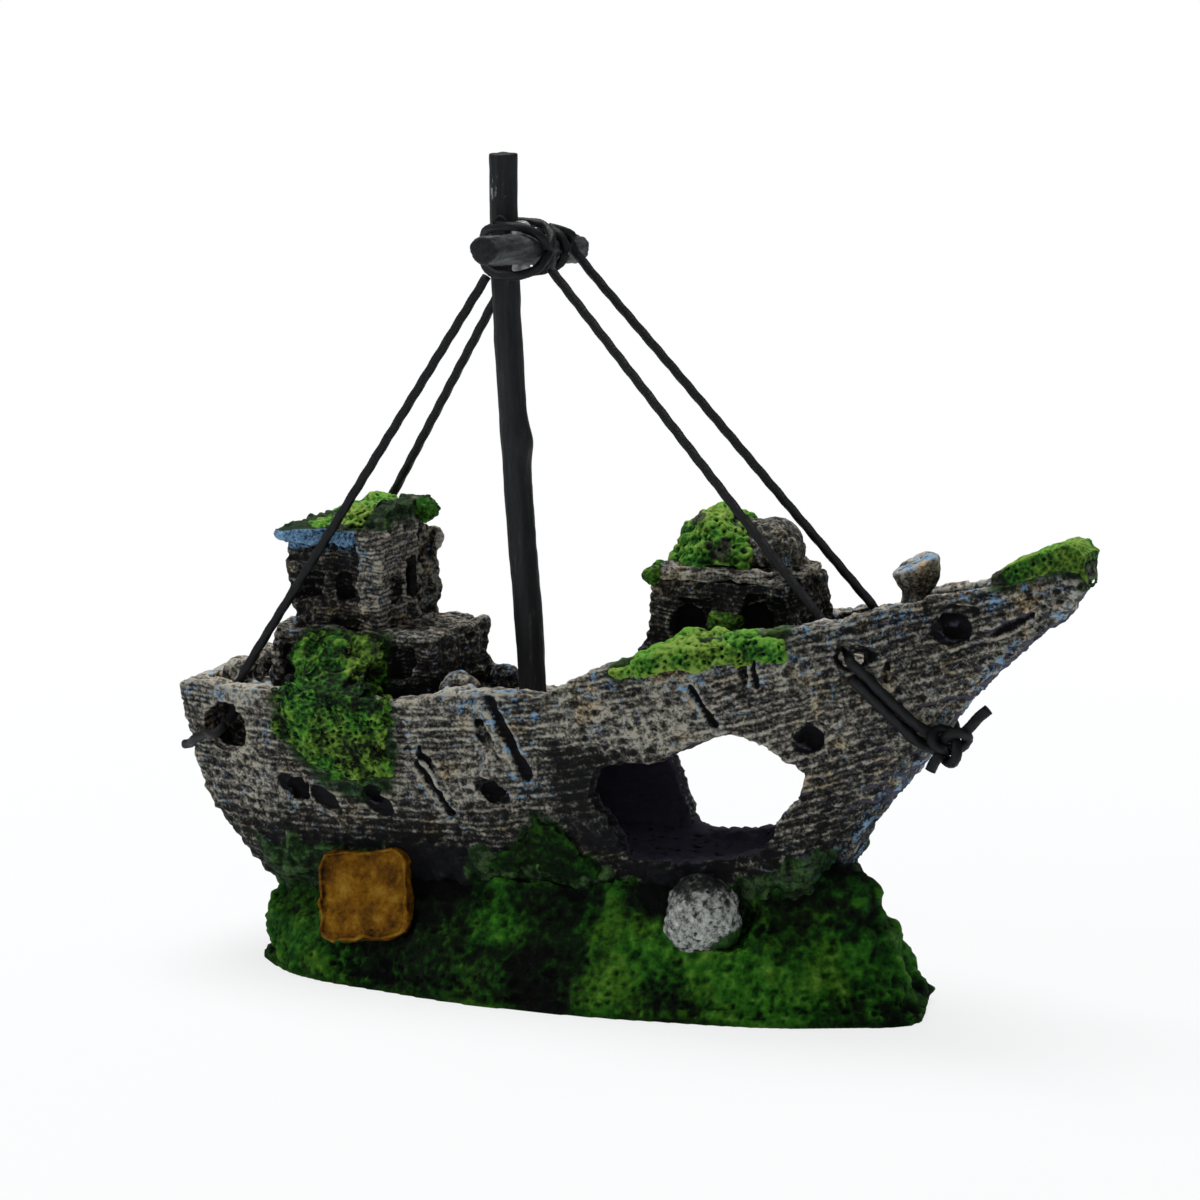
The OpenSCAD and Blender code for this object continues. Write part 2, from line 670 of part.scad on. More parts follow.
// One closed turn round the mast and the spar where they cross, slanting by tilt
module crossing_turn(tilt) {
    reach = mast_d / 2 + spar_d / 2 + cord_r + 0.1;
    middle = [(mast_at(spar_share)[0] + spar_x) / 2, 0, deck_top + spar_z];
    side = [0, cos(tilt), sin(tilt)];
    cord([for (i = [0:LASHING_STEPS - 1]) let (a = 360 * i / LASHING_STEPS)
        middle + [reach * signed_pow(cos(a), 0.8), 0, 0] + (reach - 0.2) * signed_pow(sin(a), 0.8) * side],
        closed = true);
}

// One closed turn round the spar alone
module spar_turn(y) {
    reach = spar_d / 2 + cord_r + 0.05;
    cord([for (i = [0:11]) let (a = 30 * i)
        [spar_x + reach * cos(a), y, deck_top + spar_z - y * tan(spar_dip) + reach * sin(a)]],
        closed = true);
}

module mast_lashing() {
    color(CORD) {
        crossing_turn(48);
        crossing_turn(-48);
        spar_turn(5.8);
    }
}

module glue_beads() {
    color(GLUE) for (side = [-1, 1]) difference() {
        translate([spar_x - spar_d / 2 + 0.3, 0, deck_top + spar_z + side * (spar_d / 2 + glue_d / 4)])
            sphere(d = glue_d);
        mast_twig();
        spar_twig();
    }
}

// ---- rigging: one cord, in the stretches between the places that hold it ----

// Points on the hull for a cord that lies on it, on one side, at the stem and at the stern
function on_side(x, z, side) = [x, side * (side_y(x, z) + cord_r + 0.12), z];
function stem_x(z) = lookup(z, [for (row = LINES) if (row[0] > 70) [bottom_z(row), station_x(row)]]);
function stern_x(z) = lookup(z, [for (i = [6:-1:0]) [bottom_z(LINES[i]), station_x(LINES[i])]]);
function run(a, b) = [for (t = [0, 0.33, 0.67]) a + (b - a) * t];
function there_and_back(p) = concat(p, [for (i = [len(p) - 1:-1:0]) [p[i][0], -p[i][1], p[i][2]]]);

bow_hole = [bow_hole_at, side_y(bow_hole_at, foredeck_z + bow_hole_rise), foredeck_z + bow_hole_rise];
stern_hole = [-well_at, side_y(-well_at, deck_z - stern_hole_drop), deck_z - stern_hole_drop];
lash = [spar_x, 0, deck_top + spar_z];

// Inboard of a bow hole, and out through it
function bow_run(side) = [for (p = [[-4.3, -3.1, 4], [-2.2, -3.1, 1.9], [-0.7, -2.1, 0.5], [0.2, -0.7, 0.1]])
    [bow_hole[0] + p[0], side * (bow_hole[1] + p[1]), bow_hole[2] + p[2]]];
// Down a rope well, and out through the stern hole
function stern_run(side) = [for (p = [side < 0 ? [1.6, -2.6, 7.8] : [0.6, -3.6, 7.8],
        [0.2, -3.2, 3.9], [-0.1, -2.2, 1.4], [-0.6, -0.6, 0.3]])
    [stern_hole[0] + p[0], side * (stern_hole[1] + p[1]), stern_hole[2] + p[2]]];

forestay_top = lash + [3.65, -1.2, -2.6];
forestay_port_top = lash + [2.95, 10.2, -1.9];
aft_stay_top = lash + [-5.85, -2.6, -3.9];
aft_stay_port_top = lash + [-4.9, 2.8, -4];
// From the starboard stern hole round the transom to the port one
STERN_LOOP = there_and_back([stern_run(-1)[3], stern_run(-1)[3] + [-0.6, -1.6, -1.1],
    on_side(-well_at - 3.5, stern_hole[2] - 1.2, -1), on_side(-well_at - 6, stern_hole[2] - 2.4, -1),
    on_side(1.6 - hull_l / 2, stern_hole[2] - 3.4, -1),
    [0.3 - hull_l / 2, -hull_beam * 0.3, stern_hole[2] - 3.9],
    [stern_x(deck_z - 9.4) - cord_r - 0.15, -8, deck_z - 9.4]]);
// Round the stem from one bow hole to the other, and the second strand below it
BOW_WRAP = there_and_back([bow_run(-1)[3], bow_run(-1)[3] + [0.8, -1.4, -0.4],
    on_side(bow_hole[0] + 2.2, bow_hole[2] - 2, -1), on_side(bow_hole[0] + 4.2, bow_hole[2] - 4.6, -1),
    on_side(bow_hole[0] + 6.4, bow_hole[2] - 7.4, -1), on_side(bow_hole[0] + 8.6, bow_hole[2] - 10, -1),
    [stem_x(bow_hole[2] - 12) + cord_r, -2.8, bow_hole[2] - 12],
    [stem_x(bow_hole[2] - 12.6) + cord_r + 0.3, -1, bow_hole[2] - 12.6]]);
SECOND_STRAND = there_and_back([
    on_side(bow_hole[0] + 0.6, bow_hole[2] - 2.6, -1), on_side(bow_hole[0] + 2.4, bow_hole[2] - 4.8, -1),
    on_side(bow_hole[0] + 4.4, bow_hole[2] - 7.4, -1), on_side(bow_hole[0] + 6.4, bow_hole[2] - 10, -1),
    on_side(bow_hole[0] + 7.8, bow_hole[2] - 12, -1),
    [stem_x(bow_hole[2] - 13.8) + cord_r, -2.8, bow_hole[2] - 13.8],
    [stem_x(bow_hole[2] - 14.4) + cord_r + 0.3, -1, bow_hole[2] - 14.4]]);
knot_at = [stem_x(bow_hole[2] - 12.2) + 2.6, -4.6, bow_hole[2] - 12.3];
KNOT_TAIL_UP = [for (p = [[1.6, 0.2, 1], [2.6, 0.8, 2.4], [3.8, 1.4, 3.8], [5, 1.8, 5]]) knot_at + p];
KNOT_TAIL_DOWN = [for (p = [[-1, -0.8, -1.4], [-1.8, -1.2, -2.6], [-2.4, -1.4, -3.8]]) knot_at + p];

module forestay_starboard() {
    color(CORD) cord(concat(run(forestay_top, bow_run(-1)[0]), bow_run(-1)));
}
module forestay_port() {
    color(CORD) cord(concat([lash + [-0.6, 7.4, 2.5], lash + [2.1, 9.4, 1.3]],
        run(forestay_port_top, bow_run(1)[0]), bow_run(1)));
}
module aft_stay_starboard() {
    color(CORD) cord(concat(run(aft_stay_top, stern_run(-1)[0]), stern_run(-1)));
}
module aft_stay_port() {
    color(CORD) cord(concat(run(aft_stay_port_top, stern_run(1)[0]), stern_run(1)));
}
module stern_loop() { color(CORD) cord(STERN_LOOP); }
module bow_wrap() {
    color(CORD) {
        cord(BOW_WRAP);
        cord(SECOND_STRAND);
    }
}

// An overhand knot, as a trefoil, lying against the stem
module bow_knot() {
    turn = 0.9;
    steps = 26;
    color(CORD) {
        translate(knot_at) rotate([90, 0, 10]) cord([for (i = [0:steps - 1])
            let (a = 360 * i / steps)
            turn * [sin(a) + 2 * sin(2 * a), cos(a) - 2 * cos(2 * a), -1.1 * sin(3 * a)]], closed = true);
        cord(KNOT_TAIL_UP);
        cord(KNOT_TAIL_DOWN);
    }
}

// ---- moss ----

// A skin of moss on the hull inside an outline in the X-Z plane, on the sides from y0 to y1
module moss_skin(outline, y0, y1, from, to, lift = 0) {
    difference() {
        intersection() {
            hull_form(grow = moss_t, lift = lift, from = from, to = to);
            along_y(y0, y1) polygon(outline);
        }
        hull_form(from = from, to = to);
    }
}

module moss_tower() {
    color(MOSS) difference() {
        translate([tower_front_x - front_wall_t - tower_l * 0.42, tower_y, roof_top])
            lump(tower_l * 0.94, tower_w - 1.8, crest_h * 0.5, seed = 7, taper = 1);
        tower_front();
    }
}

CURTAIN = [[-50.5, 46], [-50, 38], [-47, 33], [-42.5, 28.8], [-37, 27.4], [-32.4, 29.6], [-31, 35],
    [-31.4, 46]];
module moss_curtain() {
    starboard = house_y - house_w / 2;
    gunwale = deck_z + line_at(tower_front_x + 0.4, 1);
    outboard = -hull_beam / 2 - moss_t;
    inboard = hull_wall + 0.7 - line_at(tower_front_x - 12.4, 3) * hull_beam / 2;
    color(MOSS) {
        moss_skin(CURTAIN, -hull_beam, 0, 7, 34);
        along_x(tower_front_x - 12.4, tower_front_x + 0.4) polygon([
            [starboard, house_top - 0.3], [starboard - 1.8, house_top - 1],
            [starboard - 5, deck_z + 5], [outboard, gunwale + 0.6], [outboard, gunwale - 1],
            [-hull_beam / 2, gunwale - 1], [-hull_beam / 2, gunwale], [inboard, gunwale],
            [inboard, deck_top], [starboard, deck_top]]);
    }
}

module moss_cabin() {
    color(MOSS) difference() {
        translate([cabin_at + cabin_run * 0.42, cabin_y - 0.4, eaves_top])
            lump(13.4, cabin_w - 1.6, heap_h, seed = 9, levels = 5, taper = 0.75);
        rubble_heap();
    }
}

// Sponge-like moss lying along the starboard bulwark beside the fore cabin
module moss_gunwale() {
    first = 12;
    last = 14;
    color(MOSS) difference() {
        loft([for (k = [0:8]) let (
                x = station_x(LINES[first]) * (1 - k / 8) + station_x(LINES[last]) * k / 8,
                top = deck_z + line_at(x, 1), y = line_at(x, 3) * hull_beam / 2,
                fat = 0.6 + 0.4 * sin(180 * k / 8) + 0.12 * sin(200 * k))
            [[x, -y + 4.8, top - 2], [x, -y + 4.6, top + 0.9 * fat], [x, -y + 2.4, top + 1.9 * fat],
             [x, -y + 0.4, top + 1.5 * fat], [x, -y - moss_t, top + 0.2],
             [x, -y - moss_t, top - 2.6 * fat]]]);
        difference() {
            hull_form(from = 49, to = 73.5);
            hull_form(grow = -hull_wall, lift = 8, from = 49, to = 73.5);
        }
    }
}

// Outline of the moss on the stem head: distance aft of the stem head, height above the forecastle
BOW_MOSS = [
    [-13, 6.1], [-10.5, 6.1], [-7, 7.7], [-3.2, 8.6], [-0.9, 8], [-0.2, 5.7], [1.2, 5.7],
    [1.4, 8.8], [0, 11], [-2.6, 12.6], [-6.4, 12.4], [-10, 9.6], [-13, 7.4]
];
module moss_bow() {
    color(MOSS) moss_skin([for (p = BOW_MOSS) [hull_l / 2 + p[0], forecastle_z + p[1]]],
        -hull_beam, hull_beam, 86, 100, lift = 2.2);
}

TONGUE = [[-17, 0], [-15, 1.4], [-11.5, 4.4], [-9, 8.2], [-5.6, 6.8], [-4, 3.4], [-1, 1.6], [0.5, 0]];
module moss_tongue() {
    color(DEEP_MOSS) difference() {
        moss_skin([for (p = TONGUE) [p[0], rock_h + p[1]]], -hull_beam, 0, 34, 53);
        mound();
    }
}

rock_base();
hull();
aft_deckhouse();
aft_tower();
tower_front();
tower_roof();
fore_cabin();
cabin_eaves();
cabin_roof_heap();
bow_post();
deck_stones();
stern_rubble();
plaque();
white_shell();
mast();
spar();
glue_beads();
mast_lashing();
forestay_starboard();
forestay_port();
aft_stay_starboard();
aft_stay_port();
stern_loop();
bow_wrap();
bow_knot();
moss_tower();
moss_curtain();
moss_cabin();
moss_gunwale();
moss_bow();
moss_tongue();
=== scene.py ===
import json
from math import cos, exp, pi, radians, sin, sqrt

import bmesh
import bpy
import numpy as np
from mathutils import Matrix, Vector, noise
from mathutils.bvhtree import BVHTree

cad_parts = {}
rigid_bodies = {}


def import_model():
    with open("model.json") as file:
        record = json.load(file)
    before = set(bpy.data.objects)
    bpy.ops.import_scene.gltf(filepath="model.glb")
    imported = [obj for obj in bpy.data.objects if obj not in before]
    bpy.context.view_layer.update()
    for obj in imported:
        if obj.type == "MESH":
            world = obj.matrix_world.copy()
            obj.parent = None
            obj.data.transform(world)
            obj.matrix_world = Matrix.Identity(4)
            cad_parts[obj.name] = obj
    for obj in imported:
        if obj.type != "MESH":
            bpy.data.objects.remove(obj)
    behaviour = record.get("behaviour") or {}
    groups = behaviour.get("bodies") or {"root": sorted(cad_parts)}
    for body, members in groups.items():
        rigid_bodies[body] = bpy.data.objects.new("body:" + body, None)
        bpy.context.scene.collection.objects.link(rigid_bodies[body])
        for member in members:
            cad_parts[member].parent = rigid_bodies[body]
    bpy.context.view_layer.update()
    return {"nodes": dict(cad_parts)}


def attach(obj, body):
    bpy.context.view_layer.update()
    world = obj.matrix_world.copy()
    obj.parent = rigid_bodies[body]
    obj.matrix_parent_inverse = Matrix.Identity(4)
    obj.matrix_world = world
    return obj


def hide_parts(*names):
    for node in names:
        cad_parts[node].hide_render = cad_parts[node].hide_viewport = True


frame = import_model()
NODES = frame["nodes"]


def placed(name, data):
    """A new object in the scene."""
    made = bpy.data.objects.new(name, data)
    bpy.context.scene.collection.objects.link(made)
    return made


# ---- Camera ----
# The photograph looks from the starboard bow quarter, slightly from above, with a long lens.
# Rays through the image points below place some of the marks, and the end measures against them.
AZIMUTH = radians(24)
ELEVATION = radians(10)
DISTANCE = 0.7
TARGET = Vector((-0.006, 0, 0.0563))
LENS = 144.9
SENSOR = 36
SHIFT_X = 0
SHIFT_Y = 0
back = Vector((sin(AZIMUTH) * cos(ELEVATION), -cos(AZIMUTH) * cos(ELEVATION), sin(ELEVATION)))
camera = placed("camera", bpy.data.cameras.new("camera"))
camera.data.sensor_fit = "AUTO"
camera.data.sensor_width = SENSOR
camera.data.lens = LENS
camera.data.shift_x = SHIFT_X
camera.data.shift_y = SHIFT_Y
camera.data.clip_start = 0.01
camera.data.clip_end = 50
camera.location = TARGET + back * DISTANCE
camera.rotation_euler = back.to_track_quat("Z", "Y").to_euler()
bpy.context.scene.camera = camera
bpy.context.view_layer.update()
bpy.context.scene.view_settings.view_transform = "Standard"

# Image points, in the photograph's 1200 x 1200 frame
W = 1200
H = 1200
EDGES = {"left": 180, "right": 1099, "top": 155, "bottom": 1031}
POINTS = {
    "mast_top": (502, 157),
    "spar_near_end": (482, 250),
    "burr": (533, 442),
    "crest_moss": (424, 508),
    "cabin_peak": (720, 512),
    "eaves_moss": (656, 573),
    "window_moss": (724, 624),
    "cabin_window": (690, 622),
    "upper_porthole": (952, 630),
    "lower_porthole": (810, 740),
    "gouge": (508, 740),
    "cut": (433, 789),
    "split": (702, 707),
    "rope_arch": (866, 656),
    "plaque": (365, 897),
    "shell": (702, 912),
}


def view_ray(x, y):
    """The line of sight through an image point, as its start and its direction."""
    side = max(W, H)
    ray = Vector((x - W / 2 + SHIFT_X * side, H / 2 - y + SHIFT_Y * side, -side * LENS / SENSOR))
    return camera.matrix_world.translation, (camera.matrix_world.to_3x3() @ ray).normalized()


def on_surface(tree, x, y):
    """Where an image point meets a surface, with its normal; a miss takes the place nearest the ray."""
    start, way = view_ray(x, y)
    place, normal = tree.ray_cast(start, way)[:2]
    if place is None:
        near = start + way * (TARGET - start).length
        place, normal = tree.find_nearest(near)[:2]
    return place, normal


def in_picture(places):
    """Where places, as rows of x, y and z, show in the photograph's frame."""
    turn = np.array(camera.matrix_world.inverted())
    seen = places @ turn[:3, :3].T + turn[:3, 3]
    scale = -max(W, H) * LENS / SENSOR / seen[:, 2]
    return np.stack((W / 2 + seen[:, 0] * scale, H / 2 - seen[:, 1] * scale), axis=1)


# ---- Light, floor and backdrop ----
# A photographer's sweep of white card: even soft light from above and behind, and a faint shadow
# round the rock's foot. The front of the rock faces away from the main light.
def lamp(name, place, size, watts):
    light = placed(name, bpy.data.lights.new(name, "AREA"))
    light.data.size = size
    light.data.energy = watts
    light.location = place
    aim = Vector(place) - Vector((0, 0, 0.06))
    light.rotation_euler = aim.to_track_quat("Z", "Y").to_euler()


lamp("top_light", (-0.2, 0.15, 0.95), 0.6, 8.5)
lamp("left_light", (-0.8, -0.65, 0.7), 0.35, 1.6)
lamp("front_light", (0.5, -1.0, 0.5), 0.6, 0.75)


def add(tree, kind, **values):
    """A shader node with its properties and socket values set; links go in with link()."""
    node = tree.nodes.new(kind)
    for key, value in values.items():
        if hasattr(node, key):
            setattr(node, key, value)
        else:
            node.inputs[key.replace("_", " ")].default_value = value
    return node


def link(tree, value, socket):
    """Puts a socket, a number or a colour on a socket."""
    if hasattr(value, "is_linked"):
        tree.links.new(value, socket)
    elif isinstance(value, tuple):
        socket.default_value = (*value, 1)
    else:
        socket.default_value = value


def maths(tree, how, a, b=0.0, c=0.0):
    """A maths node on sockets or numbers."""
    node = add(tree, "ShaderNodeMath", operation=how)
    for value, socket in zip((a, b, c), node.inputs):
        link(tree, value, socket)
    return node.outputs[0]


def plus(tree, a, b):
    return maths(tree, "ADD", a, b)


def minus(tree, a, b):
    return maths(tree, "SUBTRACT", a, b)


def times(tree, a, b):
    return maths(tree, "MULTIPLY", a, b)


def scaled(tree, value, factor, shift):
    return maths(tree, "MULTIPLY_ADD", value, factor, shift)


def span(tree, value, low, high):
    """0 at low to 1 at high, smoothly."""
    node = add(tree, "ShaderNodeMapRange", interpolation_type="SMOOTHSTEP", From_Min=low, From_Max=high)
    link(tree, value, node.inputs["Value"])
    return node.outputs["Result"]


def tint(tree, amount, a, b, how="MIX"):
    """Two colours mixed by an amount."""
    node = add(tree, "ShaderNodeMix", data_type="RGBA", blend_type=how)
    link(tree, amount, node.inputs["Factor"])
    link(tree, a, node.inputs[6])
    link(tree, b, node.inputs[7])
    return node.outputs[2]


def ramp(tree, source, *stops):
    """A colour ramp on a value, from (place, colour) stops."""
    node = tree.nodes.new("ShaderNodeValToRGB")
    marks = node.color_ramp.elements
    while len(marks) < len(stops):
        marks.new(0.5)
    for mark, (place, colour) in zip(marks, stops):
        mark.position = place
        mark.color = (*colour, 1)
    link(tree, source, node.inputs["Fac"])
    return node.outputs["Color"]


def grain(tree, where, scale, detail=3.0, rough=0.6, stretch=None, kind="ShaderNodeTexNoise", **more):
    """A noise or cell texture in lumps to the metre, stretched if asked."""
    if stretch:
        node = add(tree, "ShaderNodeVectorMath", operation="MULTIPLY")
        link(tree, where, node.inputs[0])
        node.inputs[1].default_value = stretch
        where = node.outputs[0]
    if kind == "ShaderNodeTexNoise":
        more = {"Detail": detail, "Roughness": rough, **more}
    node = add(tree, kind, Scale=scale, **more)
    link(tree, where, node.inputs["Vector"])
    return node.outputs["Distance" if kind == "ShaderNodeTexVoronoi" else "Fac"]


def warped(tree, where, scale, amount):
    """The place pushed about by noise, so that a pattern loses its straight edges."""
    push = add(tree, "ShaderNodeTexNoise", Scale=scale, Detail=2.0)
    link(tree, where, push.inputs["Vector"])
    node = add(tree, "ShaderNodeVectorMath", operation="MULTIPLY_ADD")
    link(tree, push.outputs["Color"], node.inputs[0])
    node.inputs[1].default_value = (amount, amount, amount)
    link(tree, where, node.inputs[2])
    return node.outputs[0]


def stored(tree, name):
    return add(tree, "ShaderNodeAttribute", attribute_name=name).outputs["Fac"]


def between(tree, share, a, b, output):
    """Gives the output two shaders mixed by a share."""
    pick = tree.nodes.new("ShaderNodeMixShader")
    link(tree, share, pick.inputs["Fac"])
    link(tree, a.outputs[0], pick.inputs[1])
    link(tree, b.outputs[0], pick.inputs[2])
    link(tree, pick.outputs[0], tree.nodes.new(output).inputs["Surface"])


world = bpy.data.worlds.new("world")
bpy.context.scene.world = world
world.use_nodes = True
tree = world.node_tree
tree.nodes.clear()
sky = add(tree, "ShaderNodeBackground", Color=(0.92, 0.96, 1, 1), Strength=0.17)
paper = add(tree, "ShaderNodeBackground", Color=(1, 1, 1, 1))
in_view = tree.nodes.new("ShaderNodeLightPath").outputs["Is Camera Ray"]
between(tree, in_view, sky, paper, "ShaderNodeOutputWorld")

mesh = bpy.data.meshes.new("floor")
bm = bmesh.new()
bmesh.ops.create_grid(bm, x_segments=1, y_segments=1, size=6)
bm.to_mesh(mesh)
bm.free()
floor = placed("floor", mesh)
paint = bpy.data.materials.new("floor")
paint.use_nodes = True
tree = paint.node_tree
tree.nodes.clear()
card = add(tree, "ShaderNodeBsdfDiffuse", Color=(0.88, 0.92, 0.94, 1))
glow = add(tree, "ShaderNodeEmission", Color=(1, 1, 1, 1))
reach = add(tree, "ShaderNodeVectorMath", operation="LENGTH")
link(tree, tree.nodes.new("ShaderNodeTexCoord").outputs["Object"], reach.inputs[0])
share = scaled(tree, span(tree, reach.outputs["Value"], 0.08, 0.3), 0.22, 0.78)
share = times(tree, share, tree.nodes.new("ShaderNodeLightPath").outputs["Is Camera Ray"])
between(tree, share, card, glow, "ShaderNodeOutputMaterial")
mesh.materials.append(paint)

# ---- Shared paint ----
# The casting's paint: near-black wash in the hollows, taupe dry-brushed on the ridges, thin light
# blue left from an older coat. "course" counts planks, and the other masks are stored per vertex.
SOCKETS = {"Color": "NodeSocketColor", "Height": "NodeSocketFloat"}


def rgb(*parts):
    """A colour as a screen gives it, each part 0 to 255, in Blender's linear values."""
    return tuple((c / 255 / 12.92) if c < 10 else ((c / 255 + 0.055) / 1.055) ** 2.4 for c in parts)


def group(name, **inputs):
    """An empty shader node group giving a colour and a height."""
    made = bpy.data.node_groups.new(name, "ShaderNodeTree")
    for label, value in inputs.items():
        made.interface.new_socket(label, in_out="INPUT", socket_type="NodeSocketFloat").default_value = value
    for label, kind in SOCKETS.items():
        made.interface.new_socket(label, in_out="OUTPUT", socket_type=kind)
    where = made.nodes.new("ShaderNodeTexCoord").outputs["Object"]
    return made, where, made.nodes.new("NodeGroupInput").outputs, made.nodes.new("NodeGroupOutput").inputs


worn, where, given, result = group("worn_paint", Paleness=0.5, Lines=1.0)
fine = grain(worn, where, 2300, 4, 0.72)
mid = grain(worn, where, 430, 3, 0.6)
patch = grain(worn, where, 80, 3, 0.6)
line = scaled(worn, mid, 1.1, stored(worn, "course"))
line = maths(worn, "ABSOLUTE", maths(worn, "SINE", times(worn, line, pi)))
line = maths(worn, "POWER", line, 1.5)
net = warped(worn, where, 900, 0.0012)
net = grain(worn, net, 640, kind="ShaderNodeTexVoronoi", feature="DISTANCE_TO_EDGE")
net = span(worn, net, 0.2, 0.03)
crumbs = span(worn, grain(worn, where, 1050, 2, 0.5), 0.36, 0.56)
crumbs = scaled(worn, net, 0.6, times(worn, crumbs, 0.5))
pits = span(worn, grain(worn, where, 820, kind="ShaderNodeTexVoronoi", stretch=(0.65, 0.8, 1)), 0.1, 0.5)
lined = times(worn, span(worn, patch, 0.62, 0.46), given["Lines"])
breaks = span(worn, grain(worn, where, 620, 3, 0.6, stretch=(1, 1, 1.7)), 0.36, 0.6)
height = times(worn, line, scaled(worn, breaks, 0.75, 0.35))
crumbs = times(worn, crumbs, scaled(worn, pits, 0.7, 0.3))
height = tint(worn, lined, crumbs, height)
height = scaled(worn, height, 0.42, scaled(worn, fine, 1.7, -0.48))
height = times(worn, height, scaled(worn, pits, 0.25, 0.75))
# Paler on the ridges, and on faces turned up, where that is a painted highlight.
tone = plus(worn, height, scaled(worn, stored(worn, "relief_and_top_highlight"), 0.66, -0.33))
tone = plus(worn, tone, scaled(worn, patch, 0.6, -0.3))
tone = plus(worn, tone, scaled(worn, given["Paleness"], 0.6, -0.3))
# Darker where shut in, as painted shade, and where the masks give dirt or black paint.
tone = minus(worn, tone, times(worn, stored(worn, "dirt_and_shade"), 0.6))
colour = ramp(
    worn, tone, (0.2, rgb(18, 18, 19)), (0.40, rgb(38, 37, 35)), (0.60, rgb(84, 81, 75)),
    (0.80, rgb(142, 137, 125)), (1.0, rgb(194, 188, 172)))
rust = span(worn, grain(worn, where, 190, 3, 0.6), 0.52, 0.7)
colour = tint(worn, rust, colour, tint(worn, 1.0, colour, (1.15, 0.98, 0.74), "MULTIPLY"))
speck = grain(worn, where, 420, 5, 0.75, Distortion=1.5)
speck = scaled(worn, stored(worn, "blue"), 0.3, speck)
speck = times(worn, span(worn, speck, 0.66, 0.74), span(worn, tone, 0.25, 0.5))
blue = tint(worn, span(worn, tone, 0.25, 0.85), rgb(66, 104, 140), rgb(136, 186, 228))
colour = tint(worn, times(worn, speck, 0.8), colour, blue)
green = scaled(worn, plus(worn, fine, mid), 0.45, stored(worn, "moss"))
green = span(worn, green, 0.68, 0.98)
leaf = scaled(worn, stored(worn, "relief_and_top_highlight"), 0.7, scaled(worn, fine, 1.2, -0.5))
leaf = ramp(
    worn, leaf, (0.1, rgb(7, 13, 5)), (0.4, rgb(12, 38, 7)),
    (0.66, rgb(23, 66, 12)), (1.0, rgb(54, 104, 25)))
colour = tint(worn, times(worn, green, 0.92), colour, leaf)
# The same mask pulls the colour to near-black: painted shade where shut in, black paint in the holes.
black = scaled(worn, green, -0.35, stored(worn, "dirt_and_shade"))
black = scaled(worn, mid, 0.3, black)
colour = tint(worn, times(worn, span(worn, black, 0.66, 1.05), 0.93), colour, rgb(20, 20, 23))
colour = tint(worn, stored(worn, "hollow"), colour, rgb(84, 80, 96))
link(worn, colour, result["Color"])
link(worn, height, result["Height"])

# The painted moss: bright green on the ridges of a sponge, blackish green in its holes.
mossy, where, given, result = group("moss_paint", Fresh=0.5, Felt=0.0)
fine = grain(mossy, where, 2100, 4, 0.72)
mid = grain(mossy, where, 600, 3, 0.6)
clump = grain(mossy, where, 140, 3, 0.6)
holes = grain(mossy, where, 1500, kind="ShaderNodeTexVoronoi")
height = scaled(mossy, fine, 1.3, scaled(mossy, holes, 0.75, -0.3))
crisp = scaled(mossy, given["Felt"], -0.3, 0.5)
depth = scaled(mossy, given["Felt"], -0.3, 0.8)
# Paler on the ridges, and on faces turned up, where that is a painted highlight.
tone = scaled(mossy, stored(mossy, "relief_and_top_highlight"), depth, times(mossy, height, crisp))
tone = scaled(mossy, given["Felt"], 0.36, tone)
lawn = minus(mossy, span(mossy, grain(mossy, where, 48, 2, 0.5), 0.4, 0.62), 0.45)
felted = maths(mossy, "MAXIMUM", given["Felt"], 0.0)
lawn = times(mossy, times(mossy, lawn, 0.3), felted)
tone = plus(mossy, tone, lawn)
tone = plus(mossy, tone, scaled(mossy, mid, 0.5, -0.25))
tone = plus(mossy, tone, scaled(mossy, grain(mossy, where, 70, 2, 0.5), 0.5, -0.25))
tone = plus(mossy, tone, scaled(mossy, given["Fresh"], 0.5, -0.42))
# Darker where shut in, as painted shade, and where the masks give dirt.
tone = minus(mossy, tone, times(mossy, stored(mossy, "dirt_and_shade"), 0.55))
leaf = ramp(
    mossy, tone, (0.15, rgb(5, 9, 5)), (0.36, rgb(14, 38, 9)), (0.52, rgb(28, 80, 16)),
    (0.72, rgb(60, 128, 30)), (1.0, rgb(120, 178, 62)))
dry = ramp(
    mossy, tone, (0.15, rgb(7, 9, 4)), (0.36, rgb(32, 44, 10)), (0.52, rgb(74, 94, 20)),
    (0.72, rgb(124, 146, 42)), (1.0, rgb(176, 190, 92)))
colour = tint(mossy, times(mossy, span(mossy, clump, 0.44, 0.62), given["Fresh"]), leaf, dry)
bare = scaled(mossy, mid, 0.5, stored(mossy, "course"))
colour = tint(mossy, span(mossy, bare, 0.68, 0.9), colour, ramp(
    mossy, tone, (0.1, rgb(7, 9, 7)), (0.6, rgb(22, 30, 19)), (1.0, rgb(84, 92, 66))))
link(mossy, colour, result["Color"])
link(mossy, height, result["Height"])


def finish_of(name, roughness, gloss, paint, bump, deep):
    """A material with that roughness and gloss; paint(tree) gives its colour and its height."""
    made = bpy.data.materials.new(name)
    made.use_nodes = True
    tree = made.node_tree
    shader = tree.nodes["Principled BSDF"]
    shader.inputs["Roughness"].default_value = roughness
    shader.inputs["Specular IOR Level"].default_value = gloss
    colour, height = paint(tree)
    lift = add(tree, "ShaderNodeBump", Strength=bump, Distance=deep)
    link(tree, colour, shader.inputs["Base Color"])
    link(tree, height, lift.inputs["Height"])
    link(tree, lift.outputs["Normal"], shader.inputs["Normal"])
    return made


def coated(name, coat, roughness, bump, gloss=0.3, **values):
    """A material whose colour and relief come from a shared coat."""
    def paint(tree):
        node = add(tree, "ShaderNodeGroup", node_tree=coat)
        for key, value in values.items():
            node.inputs[key].default_value = value
        return node.outputs["Color"], node.outputs["Height"]

    return finish_of(name, roughness, gloss, paint, bump, 0.0005)
